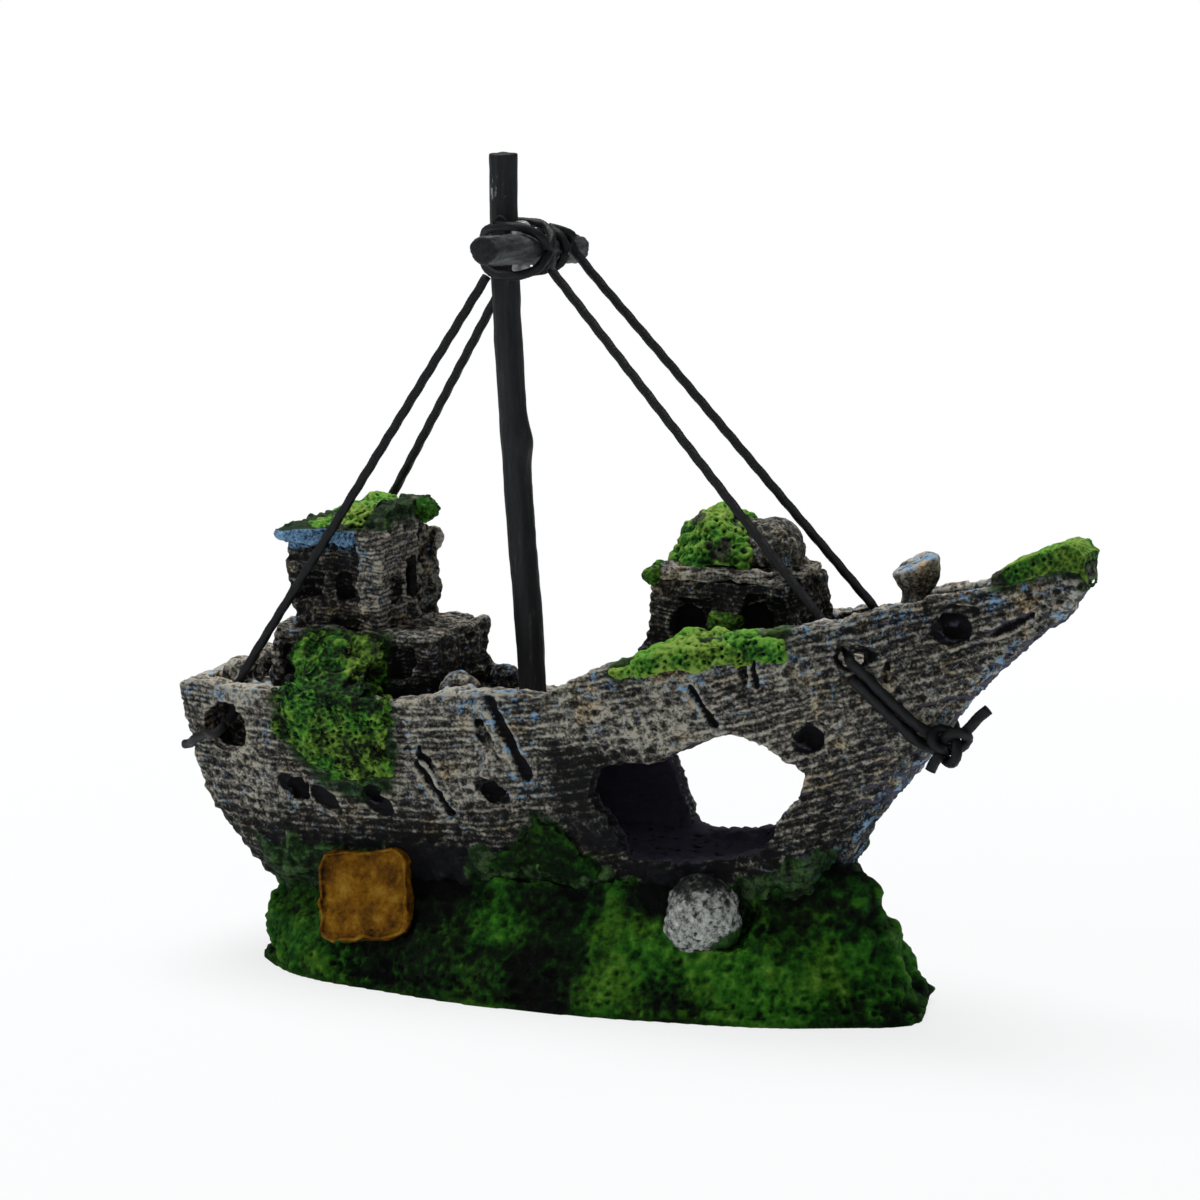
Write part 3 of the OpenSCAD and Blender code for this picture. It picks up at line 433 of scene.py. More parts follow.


# ---- How a casting is made ----
# Each casting starts as its CAD node, is remeshed finely, and has its surface moved in and out.
# Short rays off every vertex then say how shut in it is, and painted shade darkens the paint there.
MM = 0.001
COARSE = 1.0
MASKS = ("relief_and_top_highlight", "dirt_and_shade", "course", "moss", "blue", "scuff", "hollow")
RIGGED = ("stay", "mast", "spar", "loop", "bow_wrap", "bow_knot")
REACH = 8 * MM
OFF_SKIN = 0.9 * MM
WAYS = ((0, 0, 1), (0.9, 0, 0.6), (-0.9, 0, 0.6), (0, 0.9, 0.6), (0, -0.9, 0.6))


def skin(*meshes):
    """A tree of the faces of meshes, to be met by rays."""
    bm = bmesh.new()
    for mesh in meshes:
        bm.from_mesh(mesh)
    made = BVHTree.FromBMesh(bm)
    bm.free()
    return made


SOLID = skin(*(node.data for name, node in NODES.items() if not any(word in name for word in RIGGED)))
LEAN = [Vector(way).normalized() for way in WAYS]


def sheltered(point, normal):
    """How shut in a place is, 0 to 1: the share of short rays off it that meet the casting."""
    turn = normal.to_track_quat("Z", "Y")
    start = point + normal * OFF_SKIN
    near = 0.0
    for way in LEAN:
        facing, far = SOLID.ray_cast(start, turn @ way, REACH)[1::2]
        if far is not None and facing.dot(turn @ way) < 0:
            near += 1 - 0.5 * far / REACH
    return near / len(LEAN)


# Blender seeds noise_vector by the clock unless it is told otherwise.
noise.seed_set(4)


def rough(point, lumps, octaves=3):
    """Fractal noise, about -1 to 1; lumps to the millimetre."""
    return noise.fractal(point * (lumps / MM), 0.9, 2.1, octaves)


def cells(point, size):
    """Distance to the nearest core in a cell pattern of that size in millimetres, 0 to about 0.8."""
    return noise.voronoi(point / (size * MM))[0][0]


def smooth(value, low, high):
    t = max(0.0, min(1.0, (value - low) / (high - low)))
    return t * t * (3 - 2 * t)


def ragged(point, wide, high, lumps=0.33, deep=0.0):
    """The place pushed about sideways and up and down, so that an edge is ragged."""
    push = noise.noise_vector(point * (lumps / MM)) + 0.5 * noise.noise_vector(point * (2.3 * lumps / MM))
    return point + Vector((push.x * wide, push.y * deep, push.z * high)) * MM


def as_seen(piece):
    """A new mesh of a piece with its modifiers applied."""
    return bpy.data.meshes.new_from_object(piece.evaluated_get(bpy.context.evaluated_depsgraph_get()))


def baked(piece):
    """The piece's own mesh with its modifiers applied, which it keeps."""
    old = piece.data
    piece.data = as_seen(piece)
    piece.modifiers.clear()
    bpy.data.meshes.remove(old)
    return piece.data


def numbers(mesh, key, width):
    values = np.empty(len(mesh.vertices) * width, dtype=np.float32)
    mesh.vertices.foreach_get(key, values)
    return values.reshape(-1, width)


def merge(old, new):
    """Fills a mesh with the faces of another, merged into one skin."""
    bm = bmesh.new()
    bm.from_mesh(old)
    bmesh.ops.remove_doubles(bm, verts=bm.verts, dist=1e-6)
    bmesh.ops.recalc_face_normals(bm, faces=bm.faces)
    bm.to_mesh(new)
    bm.free()


def piece_of(name):
    """A new object whose mesh is a copy of a CAD node, merged into one skin."""
    mesh = bpy.data.meshes.new(name)
    merge(NODES[name].data, mesh)
    return placed(name + "_piece", mesh)


def cast(name, voxel, material, move, masks=None, keep=1.0, soften=2, shade=1.0, form=None, top=0.0):
    """Remeshes a copy of a node, moves each point along its normal by move(point, normal) in
    millimetres, and stores the masks the paint reads. form(point) may place each point first. top is
    the strength of a painted highlight on what faces up, and shade scales the painted shade."""
    piece = piece_of(name)
    skin = piece.modifiers.new("skin", "REMESH")
    skin.mode = "VOXEL"
    skin.voxel_size = voxel * MM * COARSE
    if soften:
        soft = piece.modifiers.new("soft", "SMOOTH")
        soft.iterations = soften
    mesh = baked(piece)
    if form:
        for vertex in mesh.vertices:
            vertex.co = form(vertex.co)
        mesh.update()
    shifts = [move(v.co, v.normal) * MM for v in mesh.vertices]
    shifts = np.array(shifts, dtype=np.float32)[:, None]
    points = numbers(mesh, "co", 3) + numbers(mesh, "normal", 3) * shifts
    mesh.vertices.foreach_set("co", points.ravel())
    mesh.update()
    if keep < 1:
        piece.modifiers.new("thin", "DECIMATE").ratio = keep
        mesh = baked(piece)
    soft = piece.modifiers.new("soft", "SMOOTH")
    soft.iterations = 14
    even = as_seen(piece)
    piece.modifiers.clear()
    rise = ((numbers(mesh, "co", 3) - numbers(even, "co", 3)) * numbers(mesh, "normal", 3)).sum(axis=1)
    bpy.data.meshes.remove(even)
    values = {key: [] for key in MASKS}
    # Painted highlight: faces turned up are made paler, as much as top says.
    lit = np.clip(numbers(mesh, "normal", 3)[:, 2], 0, 1)
    values["relief_and_top_highlight"] = np.clip(0.5 + rise / (0.5 * MM) + top * lit, 0, 1.3).tolist()
    for vertex in mesh.vertices:
        given = masks(vertex.co, vertex.normal) if masks else {}
        # Painted shade: the paint is darkened where the short rays meet the casting, as much as shade says.
        shut = shade * sheltered(vertex.co, vertex.normal)
        values["dirt_and_shade"].append(min(1.0, max(shut, given.get("dirt_and_shade", 0.0))))
        for key in MASKS[2:]:
            values[key].append(given.get(key, 0.0))
    for key in MASKS:
        mesh.attributes.new(key, "FLOAT", "POINT").data.foreach_set("value", values[key])
    mesh.materials.clear()
    mesh.materials.append(material)
    mesh.shade_smooth()
    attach(piece, "root")
    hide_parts(name)
    return piece


# ---- Hull ----
# A resin casting of a plank-built boat, hollow and broken through at the gap. The planks are fine
# wavy grooves that follow the sheer, eaten into ridges and pits, and pale where the brush touched.
SHEER = [(-69, 42), (-45, 42.3), (-25, 43), (-10, 44.6), (5, 47.9), (20, 52), (69, 66)]
STEM = [
    (19.8, 32.3), (25.9, 35.8), (31.3, 39.9), (37.5, 44.7), (44, 49.5), (51, 55.7), (55.7, 60.5),
    (58.5, 64.6), (63, 68.6)]
PLANK = 0.87
GREENS = [skin(NODES[name].data) for name in ("moss_curtain", "moss_gunwale", "moss_bow", "moss_tongue")]


def along(table, x):
    for (x0, y0), (x1, y1) in zip(table, table[1:]):
        if x <= x1:
            break
    return y0 + (y1 - y0) * max(0.0, min(1.0, (x - x0) / (x1 - x0)))


def sheer(x):
    return along(SHEER, x)


def stem_edge(point):
    """How far aft of the stem's edge a place is, in millimetres."""
    x, y, z = point / MM
    return 0.75 * (along(STEM, z) - x) if 19 < z < 63 and x > 25 else 99


def greenness(point, reach):
    """1 at the moss pieces, falling to 0 at reach millimetres from them."""
    near = [tree.find_nearest(point, reach * MM)[3] for tree in GREENS]
    return 1 - min((d for d in near if d is not None), default=reach * MM) / (reach * MM)


def planks(point, normal):
    x, y, z = point / MM
    if abs(normal.z) > 0.8:
        return y / 1.7 + 0.25 * rough(point, 0.12, 2)
    if stem_edge(point) < 1.5:
        return 0.5
    bend = (sheer(x - 4) + sheer(x) + sheer(x + 4)) / 3
    return (bend - z) / PLANK + 0.5 * rough(point, 0.07, 2) + 0.3 * rough(point, 0.33, 2)


HULL = skin(NODES["hull"].data)
MARKS = {name: on_surface(HULL, *POINTS[name])[0] for name in (
    "gouge", "cut", "split", "rope_arch", "upper_porthole", "lower_porthole")}
ARCH = MARKS["rope_arch"]
# Gouges in the planks: each one's middle, its run along the hull, its rise, and its width.
SCORES = [
    (MARKS["gouge"], 5.2, -11, 0.85),
    (MARKS["cut"], 4.6, -7.4, 0.5),
    (MARKS["split"], 3.2, -5.4, 0.45),
    (ARCH + Vector((-15, 0, -2)) * MM, 0.4, -5, 0.35),
    (ARCH + Vector((4.4, 0, -10)) * MM, 1.4, -5, 0.4),
    (MARKS["upper_porthole"] + Vector((8.4, 0, 1)) * MM, 5.6, 3.2, 0.5)]


def score_distance(point):
    """How far a place is from the nearest gouge, in widths of that gouge."""
    x, y, z = point / MM
    best = 9.0
    for middle, run, rise, wide in SCORES if y < 0 else ():
        u, w = x - middle.x / MM, z - middle.z / MM
        t = max(-0.5, min(0.5, (u * run + w * rise) / (run * run + rise * rise)))
        off = sqrt((u - run * t) ** 2 + (w - rise * t) ** 2)
        best = min(best, off / wide)
    return best / (1 + 0.8 * rough(point, 0.3, 2))


def scored(point):
    """How far into a gouge a place is, 0 to 1."""
    return 1 - smooth(score_distance(point), 0.5, 1.4)


UPPER = MARKS["upper_porthole"] / MM
LOWER = MARKS["lower_porthole"] / MM
# Blind portholes: x, z, width, height, and how far each leans aft with height.
PORTHOLES = [
    (UPPER.x, UPPER.z, 6, 5.2, 0),
    (LOWER.x, LOWER.z, 4.6, 4.6, 0),
    (-48.4, 28, 5.2, 4.2, 0.7),
    (-43.3, 26.7, 4.6, 4, 0.7),
    (-34.4, 26.8, 5, 4, 0.7),
    (-15.8, 30.2, 5.4, 4, 0.7)]


def holed(point):
    """How far into a blind porthole a place is, 0 to 1."""
    x, y, z = point / MM
    off = min(
        sqrt(((x - u + lean * (z - v)) / wide) ** 2 + ((z - v) / high) ** 2)
        for u, v, wide, high, lean in PORTHOLES)
    return 1 - smooth(off, 0.36, 0.5)


STERN_HOLE = Vector((-60.6, 0, 36.2))
EYES = [(hole.x - STERN_HOLE.x, hole.z - STERN_HOLE.z) for hole in (UPPER, LOWER)]
WIDENED = 1.1
MOVED_AFT = 1.1


def hull_form(point):
    """A rim broken unevenly, the rope's hole at the stern worn wider and the portholes moved aft."""
    off = point / MM - STERN_HOLE
    side = Vector((off.x, 0, off.z))
    wider = WIDENED * smooth(side.length, 5.5, 2.4) * smooth(side.length, 0.2, 1.5) * (point.y < 0)
    eye = min(sqrt((off.x - u - MOVED_AFT) ** 2 + (off.z - v) ** 2) for u, v in EYES)
    slip = Vector((MOVED_AFT * (1 - smooth(eye, 3, 6.5)) * (point.y < 0), 0, 0))
    return ragged(point + (side.normalized() * wider - slip) * MM, 0.4, 0.4, 0.6)


GAP_AFT, GAP_FORE, GAP_FLOOR, GAP_TOP = -5, 25, 24, 37
FAR = 9.0


def gap_distance(point):
    """How far outside the broken gap a place is, in millimetres."""
    x, y, z = point / MM
    return min(FAR, max(GAP_AFT - x, x - GAP_FORE, GAP_FLOOR - z, z - GAP_TOP, 0.0)) if y < 0 else FAR


BESIDE_TONGUE = -27
UNDER_GAP = 13


def join_shadow_and_black(x):
    """How dark the join of rock and hull is at a place along it: a painted shadow under the gap, and black
    beside the tongue.
    """
    return max(1 - smooth(abs(x - BESIDE_TONGUE), 5, 10), 1 - smooth(abs(x - UNDER_GAP), 5, 11))


def climbing(point):
    """How far the rock's moss has climbed the hull's foot at a place, 0 to 1."""
    x, y, z = point / MM
    top = 20.5 + 3.5 * smooth(x, 22, 32) + 2.6 * rough(point, 0.09, 2) + 1.6 * rough(point, 0.4, 2)
    return smooth(top - z, -0.4, 0.9) * (abs(y) > 5) * smooth(x, -59, -53)


def arched(point):
    """How far into the arched recess the bow rope comes out of a place is, 0 to 1."""
    off = (point - ARCH) / MM + Vector((1.3, 0, 0))
    return (1 - smooth(sqrt((off.x / 2.9) ** 2 + (off.z / 1.5) ** 2), 0.7, 1.1)) * (point.y < 0)


def hull_move(point, normal):
    climb = climbing(point)
    ridge = abs(sin(0.5 * pi * planks(point, normal)))
    eaten = rough(point, 0.11)
    pit = 1 - smooth(cells(point, 1.9), 0.12, 0.5)
    plank = 0.30 * (1 - climb) * (ridge - 0.6) * smooth(eaten, 0.5, -0.2)
    moss = climb * (0.9 + 0.9 * rough(point, 0.3))
    recess = (0.7 * holed(point) + 0.9 * arched(point)) * (abs(normal.y) > 0.5)
    pocked = 0.42 * pit * smooth(eaten, -0.15, 0.35)
    gouged = 1.1 * scored(point)
    return plank + moss + 0.16 * rough(point, 0.8) + 0.36 * eaten - pocked - 0.05 - gouged - recess


HOLD_WIDE = 13
HOLD_FLOOR, HOLD_MIDDLE, HOLD_TOP = 21, 30, 40.5
BOW = 40


def hull_masks(point, normal):
    """Black in the hold, round the gap and low down, with a painted shadow at the foot under the gap; pale
    at the stem, green where moss climbs.
    """
    x, y, z = point / MM
    level = normal.z > 0.6 and z < HOLD_MIDDLE or normal.z < -0.6 and z > HOLD_MIDDLE
    facing_in = normal.y * y < -2 or abs(y) < HOLD_WIDE and level
    behind_porthole = x >= BOW and z < sheer(x) - 3
    within = 1.0 if facing_in and (HOLD_FLOOR < z < HOLD_TOP and x < BOW or behind_porthole) else 0.0
    climb = climbing(point)
    rim = smooth(-gap_distance(point), -2.5, 0) * smooth(x + z, 66, 46)
    low = smooth(z, 40, 14) * 0.32 + 0.24 * smooth(z, 26, 20) + 0.16 * smooth(x, 24, 44) + 0.1
    # Painted shadow on the hull's foot below the gap, and black beside the tongue.
    low += 0.5 * rim + 0.6 * join_shadow_and_black(x) * smooth(z, 23, 19.5)
    near_top = smooth(sheer(x) - z, 5, 1)
    stem = smooth(stem_edge(point), 1.8, 1.2)
    green = climb * (1 - 0.8 * join_shadow_and_black(x)) * (0.6 + 0.5 * smooth(rough(point, 0.12, 2), -0.25, 0.2))
    low *= 1 - 0.9 * green
    arch = 1.1 * arched(point)
    flecked = 0.22 * (1 - smooth(score_distance(point), 1.4, 7)) * (x < 30)
    return {
        "hollow": within,
        "dirt_and_shade": max(low * (1 - 0.5 * stem), within, arch, 0.9 * scored(point), 1.1 * holed(point)),
        "course": planks(point, normal),
        "moss": max(green, greenness(point, 3) * 0.5),
        "blue": 0.2 + 0.13 * near_top + 0.3 * stem + flecked}


stone = coated("stone", worn, 0.76, 0.55, 0.16, Paleness=0.74, Lines=0.88)
cast("hull", 0.36, stone, hull_move, hull_masks, keep=0.58, top=0.2, form=hull_form)

# ---- Deckhouse, tower and cabin ----
# Stone-like courses, wavier and coarser than the planking, crumbling at the corners, with black
# window holes. Light blue paint is left under the tower's eaves.
def courses(point, normal, pitch=1.35):
    x, y, z = point / MM
    if abs(normal.z) > 0.8:
        return 0.5 * y + 0.4 * rough(point, 0.2, 2)
    return z / pitch + 0.5 * rough(point, 0.16, 2) + 0.2 * rough(point, 0.5, 2)


def wall_move(point, normal):
    ridge = abs(sin(pi * courses(point, normal)))
    eaten = rough(point, 0.17)
    pit = 1 - smooth(cells(point, 1.9), 0.12, 0.45)
    return (0.26 * (ridge - 0.6) * smooth(eaten, 0.6, -0.3) + 0.2 * rough(point, 0.9)
            + 0.5 * eaten - 0.36 * pit * smooth(eaten, -0.1, 0.4) - 0.04)


WINDOW = on_surface(skin(NODES["fore_cabin"].data), *POINTS["cabin_window"])[0] / MM
WINDOWS = [(WINDOW.x, WINDOW.z), (WINDOW.x + 10.4, WINDOW.z + 0.7)]


def windowed(point):
    """How far into one of the cabin's two near windows a place is, 0 to 1."""
    x, y, z = point / MM
    off = min(sqrt(((x - u) / 2.5) ** 2 + ((z - v) / 2.6) ** 2) for u, v in WINDOWS)
    return (1 - smooth(off, 0.8, 1.05)) * (y < 0)


def cabin_move(point, normal):
    return wall_move(point, normal) - 1.2 * windowed(point)


def cabin_masks(point, normal):
    return {**wall_masks(point, normal), "dirt_and_shade": max(1.2 * windowed(point), 0.1)}


def wall_masks(point, normal):
    return {"course": courses(point, normal) * 2, "moss": greenness(point, 3) * 0.5, "blue": 0.25}


def crumbled(point):
    return ragged(point, 0.7, 0.6, 0.3, 0.7)


def tower_form(point):
    """The tower's aft wall set back under the roof and its front turned a little, then crumbled."""
    x, y, z = point / MM
    turned = (0.18 * y - 0.6) * smooth(x, -47, -39) - 1.1 * smooth(-x, 44, 51) * smooth(z, 64, 59)
    return crumbled(Vector((x + turned, y, z)) * MM)


def banded(point):
    """How far a place is in the blue band under the eaves, 0 to 1."""
    x, y, z = point / MM
    return smooth(z + 0.8 * rough(point, 0.3), 61.8, 62.6) * smooth(-y, 5, 7)


def tower_move(point, normal):
    return wall_move(point, normal) * (1 - 0.8 * banded(point))


def tower_masks(point, normal):
    band = banded(point)
    return {
        "course": courses(point, normal) * 2 if band < 0.5 else 0.5,
        "dirt_and_shade": 0.1 * (1 - band), "blue": 0.15 + 1.3 * band}


def roof_masks(point, normal):
    x, y, z = point / MM
    side = smooth(-normal.y, 0.2, 0.7) * banded(point)
    return {
        "course": courses(point, normal) * 2 if side < 0.5 else 0.5, "dirt_and_shade": 0, "blue": 0.1 + 1.4 * side,
        "moss": smooth(normal.z, 0.3, 0.8) * 0.6 + 0.3 * smooth(rough(point, 0.3), 0.2, 0.6)}


def slit(point):
    """How far into the tower front's window or the tall crack beside it a place is, 0 to 1."""
    x, y, z = point / MM
    window = sqrt(((y - 1.2) / 3) ** 2 + ((z - 57.6) / 3.4) ** 2)
    crack = max(abs(y - 3.2 - 0.4 * rough(point, 0.4)) / 1.7, (51.5 - z) / 2 + 1, (z - 68) / 2 + 1)
    return 1 - smooth(min(window, crack), 0.8, 1.1)


def front_move(point, normal):
    return wall_move(point, normal) - 1.3 * slit(point) * (normal.x > 0.5)


def front_masks(point, normal):
    x, y, z = point / MM
    return {
        "dirt_and_shade": 1.2 * slit(point) * (x > -37.5),
        "course": courses(point, normal) * 2, "blue": 0.25,
        "moss": smooth(z + 3 * rough(point, 0.25), 62, 69) * 0.6}


def front_form(point):
    x, y, z = point / MM
    return tower_form(Vector((x, y, z + 1.7 * smooth(y, 0.5, 4.5) * smooth(z, 62, 65))) * MM)


dark_stone = coated("dark_stone", worn, 0.76, 0.6, 0.16, Paleness=0.34, Lines=0.8)
house_stone = coated("house_stone", worn, 0.76, 0.6, 0.16, Paleness=0.36, Lines=0.8)
cast("aft_deckhouse", 0.36, house_stone, wall_move, wall_masks, form=crumbled, top=0.25)
cast("aft_tower", 0.32, dark_stone, tower_move, tower_masks, form=tower_form)
cast("tower_front", 0.3, stone, front_move, front_masks, form=front_form)
cast("tower_roof", 0.28, stone, tower_move, roof_masks, shade=0.6, form=tower_form)
cast("fore_cabin", 0.34, house_stone, cabin_move, cabin_masks, form=crumbled)
cast("cabin_eaves", 0.28, stone, wall_move, wall_masks, shade=0.6, form=crumbled)

# ---- Rubble, stones and the bow post ----
# Rounded lumps of the same casting, pitted, the ones at the stern almost white. The post at the
# bow swells at its head.
def lump_move(point, normal):
    pit = 1 - smooth(cells(point, 1.7), 0.12, 0.45)
    return 0.16 * rough(point, 0.9) + 0.42 * rough(point, 0.22) - 0.3 * pit - 0.02


pale_stone = coated("pale_stone", worn, 0.7, 0.6, 0.16, Paleness=0.9, Lines=0.1)
cast("cabin_roof_heap", 0.26, dark_stone, lump_move, lambda p, n: {"blue": 0.3, "moss": 0.25})
cast("bow_post", 0.22, stone,
     lambda p, n: 0.6 * lump_move(p, n) + 0.55 * smooth(p.z / MM, 60.5, 63.5),
     lambda p, n: {"blue": 0.3 + 0.3 * n.z})
cast("deck_stones", 0.24, stone, lump_move, lambda p, n: {"blue": 0.4, "course": 3.3})
cast("stern_rubble", 0.24, pale_stone, lump_move, lambda p, n: {"blue": 0.2, "course": 1.4})

# ---- Rock ----
# The base is one mossy rock, nearly black in its caves and deep green on its knobs. It rises a
# little round the white shell, and stays flat underneath.
SHELL = Vector((16.4, -15.5))


def rock_move(point, normal):
    knob = rough(point, 0.15)
    lump = rough(point + Vector((0.3, 0, 0)), 0.42, 2)
    cave = 1 - smooth(cells(point, 3.4), 0.1, 0.5)
    nick = 1 - smooth(cells(point, 1.3), 0.1, 0.45)
    x, y, z = point / MM
    collar = smooth(sqrt((x - SHELL.x) ** 2 + (y - SHELL.y) ** 2), 9, 6) * smooth(z, 14, 10) * (y < -12)
    out = 0.95 * knob + 0.5 * lump + 0.14 * rough(point, 1.3) - 0.8 * cave * smooth(lump, -0.1, 0.4)
    ledge = smooth(z, 14, 18) * (0.4 + 1.2 * rough(point, 0.13, 2))
    fore_end = 1.2 * smooth(x, 30, 40) * rough(point, 0.22, 2)
    out += 0.5 * collar - 0.45 * nick * smooth(z, 9, 3) + ledge + fore_end
    under_hull = normal.z > 0.8 and z > 16
    return out * smooth(z, 0.2, 1.6) * (0.3 if under_hull else 1.0)


def rock_form(point):
    """The rock's upper edge heaped unevenly against the hull's foot."""
    x, y, z = point / MM
    heap = 1.4 + 2.2 * rough(Vector((point.x, 0.3 * point.y, 0)), 0.1, 2) + 1.5 * smooth(x, 26, 34)
    most = 3.2 if x > 24 or x < 2 else 1.2
    return point + Vector((0, 0, max(-0.5, min(heap, most)) * smooth(z, 13.5, 18.5))) * MM


def rock_masks(point, normal):
    x, y, z = point / MM
    # Darker towards the rock's top under the hull: partly painted shade, most at the join's two dark
    # stretches, with random dark patches.
    top_shade_and_black = (0.1 + 0.75 * join_shadow_and_black(x)) * smooth(z + 6 * rough(point, 0.08), 11, 20)
    top_shade_and_black += 0.3 * smooth(rough(point, 0.09), 0.1, 0.5)
    return {"dirt_and_shade": top_shade_and_black, "course": 0.5 * smooth(top_shade_and_black, 0.3, 0.8)}


deep_moss = coated("deep_moss", mossy, 0.75, 0.9, 0.12, Fresh=0.2, Felt=1.0)
cast("rock_base", 0.45, deep_moss, rock_move, rock_masks, form=rock_form)
cast("moss_tongue", 0.25, deep_moss, lambda p, n: 0.4 * rough(p, 0.5) + 0.1, shade=0.2,
     form=lambda p: ragged(p, 1.6, 1.2))

# ---- Moss ----
# Painted sponge-like moss: a net of rounded ridges about holes a millimetre wide. Its edges are
# ragged, and on most of it the faces turned up get a painted highlight.
def moss_move(point, normal):
    bent = point + Vector((rough(point, 0.5, 2), rough(point + Vector((7, 0, 0)), 0.5, 2), 0)) * 0.35 * MM
    hole = 1 - smooth(cells(bent, 0.9), 0.06, 0.42)
    hole *= smooth(rough(point, 0.35), -0.7, 0.1)
    return 0.5 * rough(point, 0.3) + 0.15 * rough(point, 1.3) + 0.3 - 0.8 * hole


moss = coated("moss", mossy, 0.7, 0.8, 0.2, Fresh=0.5, Felt=-0.6)
ROOF = 65


def tower_moss_form(point):
    """The roof's moss thin aft and carried forward over the raised crest of the front wall."""
    x, y, z = point / MM
    thick = 0.3 + 0.9 * smooth(x, -50, -42)
    crest = 1.8 * smooth(y, 1.5, 4.5) - 0.5
    return tower_form(Vector((x + 1.4 * smooth(x, -46, -42), y, ROOF + (z - ROOF) * thick + crest)) * MM)


cast("moss_tower", 0.22, moss, moss_move, shade=0.5, form=tower_moss_form, top=0.25,
     masks=lambda p, n: {"course": 0.8 * smooth(rough(p, 0.3), 0.0, 0.5)})


def curtain_move(point, normal):
    """Smooth where the curtain starts, an open net below."""
    open_net = smooth(point.z / MM + 3 * rough(point, 0.12), 47, 40)
    return (0.2 + 0.75 * open_net) * moss_move(point, normal) + 0.3 * rough(point, 0.5) - 0.3


def curtain_form(point):
    """The curtain's foot drawn up, its edges ragged."""
    drawn_up = 2.2 * smooth(point.z / MM, 40, 30)
    return ragged(point + Vector((0, 0, drawn_up)) * MM, 2.4, 1.6)


cast("moss_curtain", 0.22, moss, curtain_move, shade=0.35, form=curtain_form,
     masks=lambda p, n: {"dirt_and_shade": 0.3 * smooth(rough(p, 0.2), -0.1, 0.5)})
cast("moss_cabin", 0.22, moss, lambda p, n: moss_move(p, n) + 1.1 * rough(p, 0.25), shade=0.5,
     masks=lambda p, n: {"course": 0.75 * smooth(rough(p, 0.22), 0.0, 0.5)},
     form=lambda p: ragged(p, 0.8, 0.5), top=0.3)


def gunwale_form(point):
    """The gunwale's moss thinned where it starts, and drooping towards its end."""
    x, y, z = point / MM
    edge = sheer(x) + 0.5
    thin = edge + (z - edge) * (0.45 + 0.55 * smooth(x, 5, 14))
    return ragged(Vector((x, y, thin - 1.7 * smooth(x, 4, 22) - 1.2 * smooth(x, 24, 29))) * MM, 2.0, 0.9)


cast("moss_gunwale", 0.22, moss, moss_move, shade=0.35, top=0.35, form=gunwale_form)


def bow_move(point, normal):
    """The sponge, closing up at the tip of the bow."""
    return (0.7 - 0.5 * smooth(point.x / MM, 63, 66)) * moss_move(point, normal) - 0.25


def bow_masks(point, normal):
    """Bare where the moss starts, and underneath."""
    start = smooth(point.x / MM - 3 * rough(point, 0.15), 60, 55)
    return {"course": 0.9 * start + 0.5 * smooth(-normal.z, 0.0, 0.6)}


cast("moss_bow", 0.22, moss, bow_move, bow_masks, shade=0.5, top=0.3,
     form=lambda p: ragged(p, 0.5, 0.4))

# Three small tufts, each where its image point meets the walls.
WALLS = skin(*(bpy.data.objects[name + "_piece"].data for name in (
    "tower_front", "fore_cabin", "cabin_eaves", "tower_roof")))
for key, wide in (("crest_moss", 1.9), ("eaves_moss", 1.4), ("window_moss", 2.0)):
    place, out = on_surface(WALLS, *POINTS[key])
    mesh = bpy.data.meshes.new(key)
    bm = bmesh.new()
    bmesh.ops.create_icosphere(bm, subdivisions=5, radius=wide * MM)
    bm.normal_update()
    for vertex in bm.verts:
        there = Vector((vertex.co.x, vertex.co.y, 0.75 * vertex.co.z)) + place
        vertex.co = there + vertex.normal * (moss_move(there, vertex.normal) + 0.9 * rough(there, 0.45)) * MM
    bm.to_mesh(mesh)
    bm.free()
    for mask in MASKS:
        mesh.attributes.new(mask, "FLOAT", "POINT").data.foreach_set(
            "value", [0.5 if mask == "relief_and_top_highlight" else 0.0] * len(mesh.vertices))
    mesh.materials.append(moss)
    mesh.shade_smooth()
    tuft = placed(key, mesh)
    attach(tuft, "root")

# ---- Plaque ----
# An ochre plate let into the rock, with shallow dents in its face. The rock's moss has crept up
# onto its lower edge.
def plain(name, roughness, colour_of, bump=0.3, height_of=None, gloss=0.35):
    """A material with its own colour network: colour_of(tree, where) gives the colour socket."""
    def paint(tree):
        where = tree.nodes.new("ShaderNodeTexCoord").outputs["Object"]
        height = height_of(tree, where) if height_of else grain(tree, where, 1300, 4, 0.7)
        return colour_of(tree, where), height

    return finish_of(name, roughness, gloss, paint, bump, 0.0003)


def mossed(tree, where, colour):
    """A colour with specks of moss where that mask says."""
    fleck = grain(tree, where, 1100, 5, 0.8)
    green = ramp(tree, fleck, (0.35, rgb(8, 18, 5)), (0.52, rgb(26, 66, 14)), (0.7, rgb(64, 116, 36)))
    amount = scaled(tree, fleck, 1.6, stored(tree, "moss"))
    return tint(tree, span(tree, amount, 1.15, 1.4), colour, green)


def ochre_colour(tree, where):
    stain = scaled(tree, grain(tree, where, 300, 5, 0.75), 1.2, -0.2)
    stain = plus(tree, stain, times(tree, stored(tree, "relief_and_top_highlight"), 0.4))
    # Darker where shut in, as painted shade, and on the plate's ends.
    stain = minus(tree, stain, times(tree, stored(tree, "dirt_and_shade"), 0.35))
    rust = ramp(tree, stain, (0.3, rgb(26, 16, 0)), (0.48, rgb(90, 55, 2)), (0.66, rgb(136, 90, 6)),
                (0.9, rgb(172, 136, 48)))
    return mossed(tree, where, rust)


def plaque_move(point, normal):
    dent = 1 - smooth(cells(point, 3.1), 0.1, 0.5)
    return 0.28 * rough(point, 0.3) + 0.1 * rough(point, 1.2) - 0.25 * dent * smooth(normal.y, -0.5, -0.9)


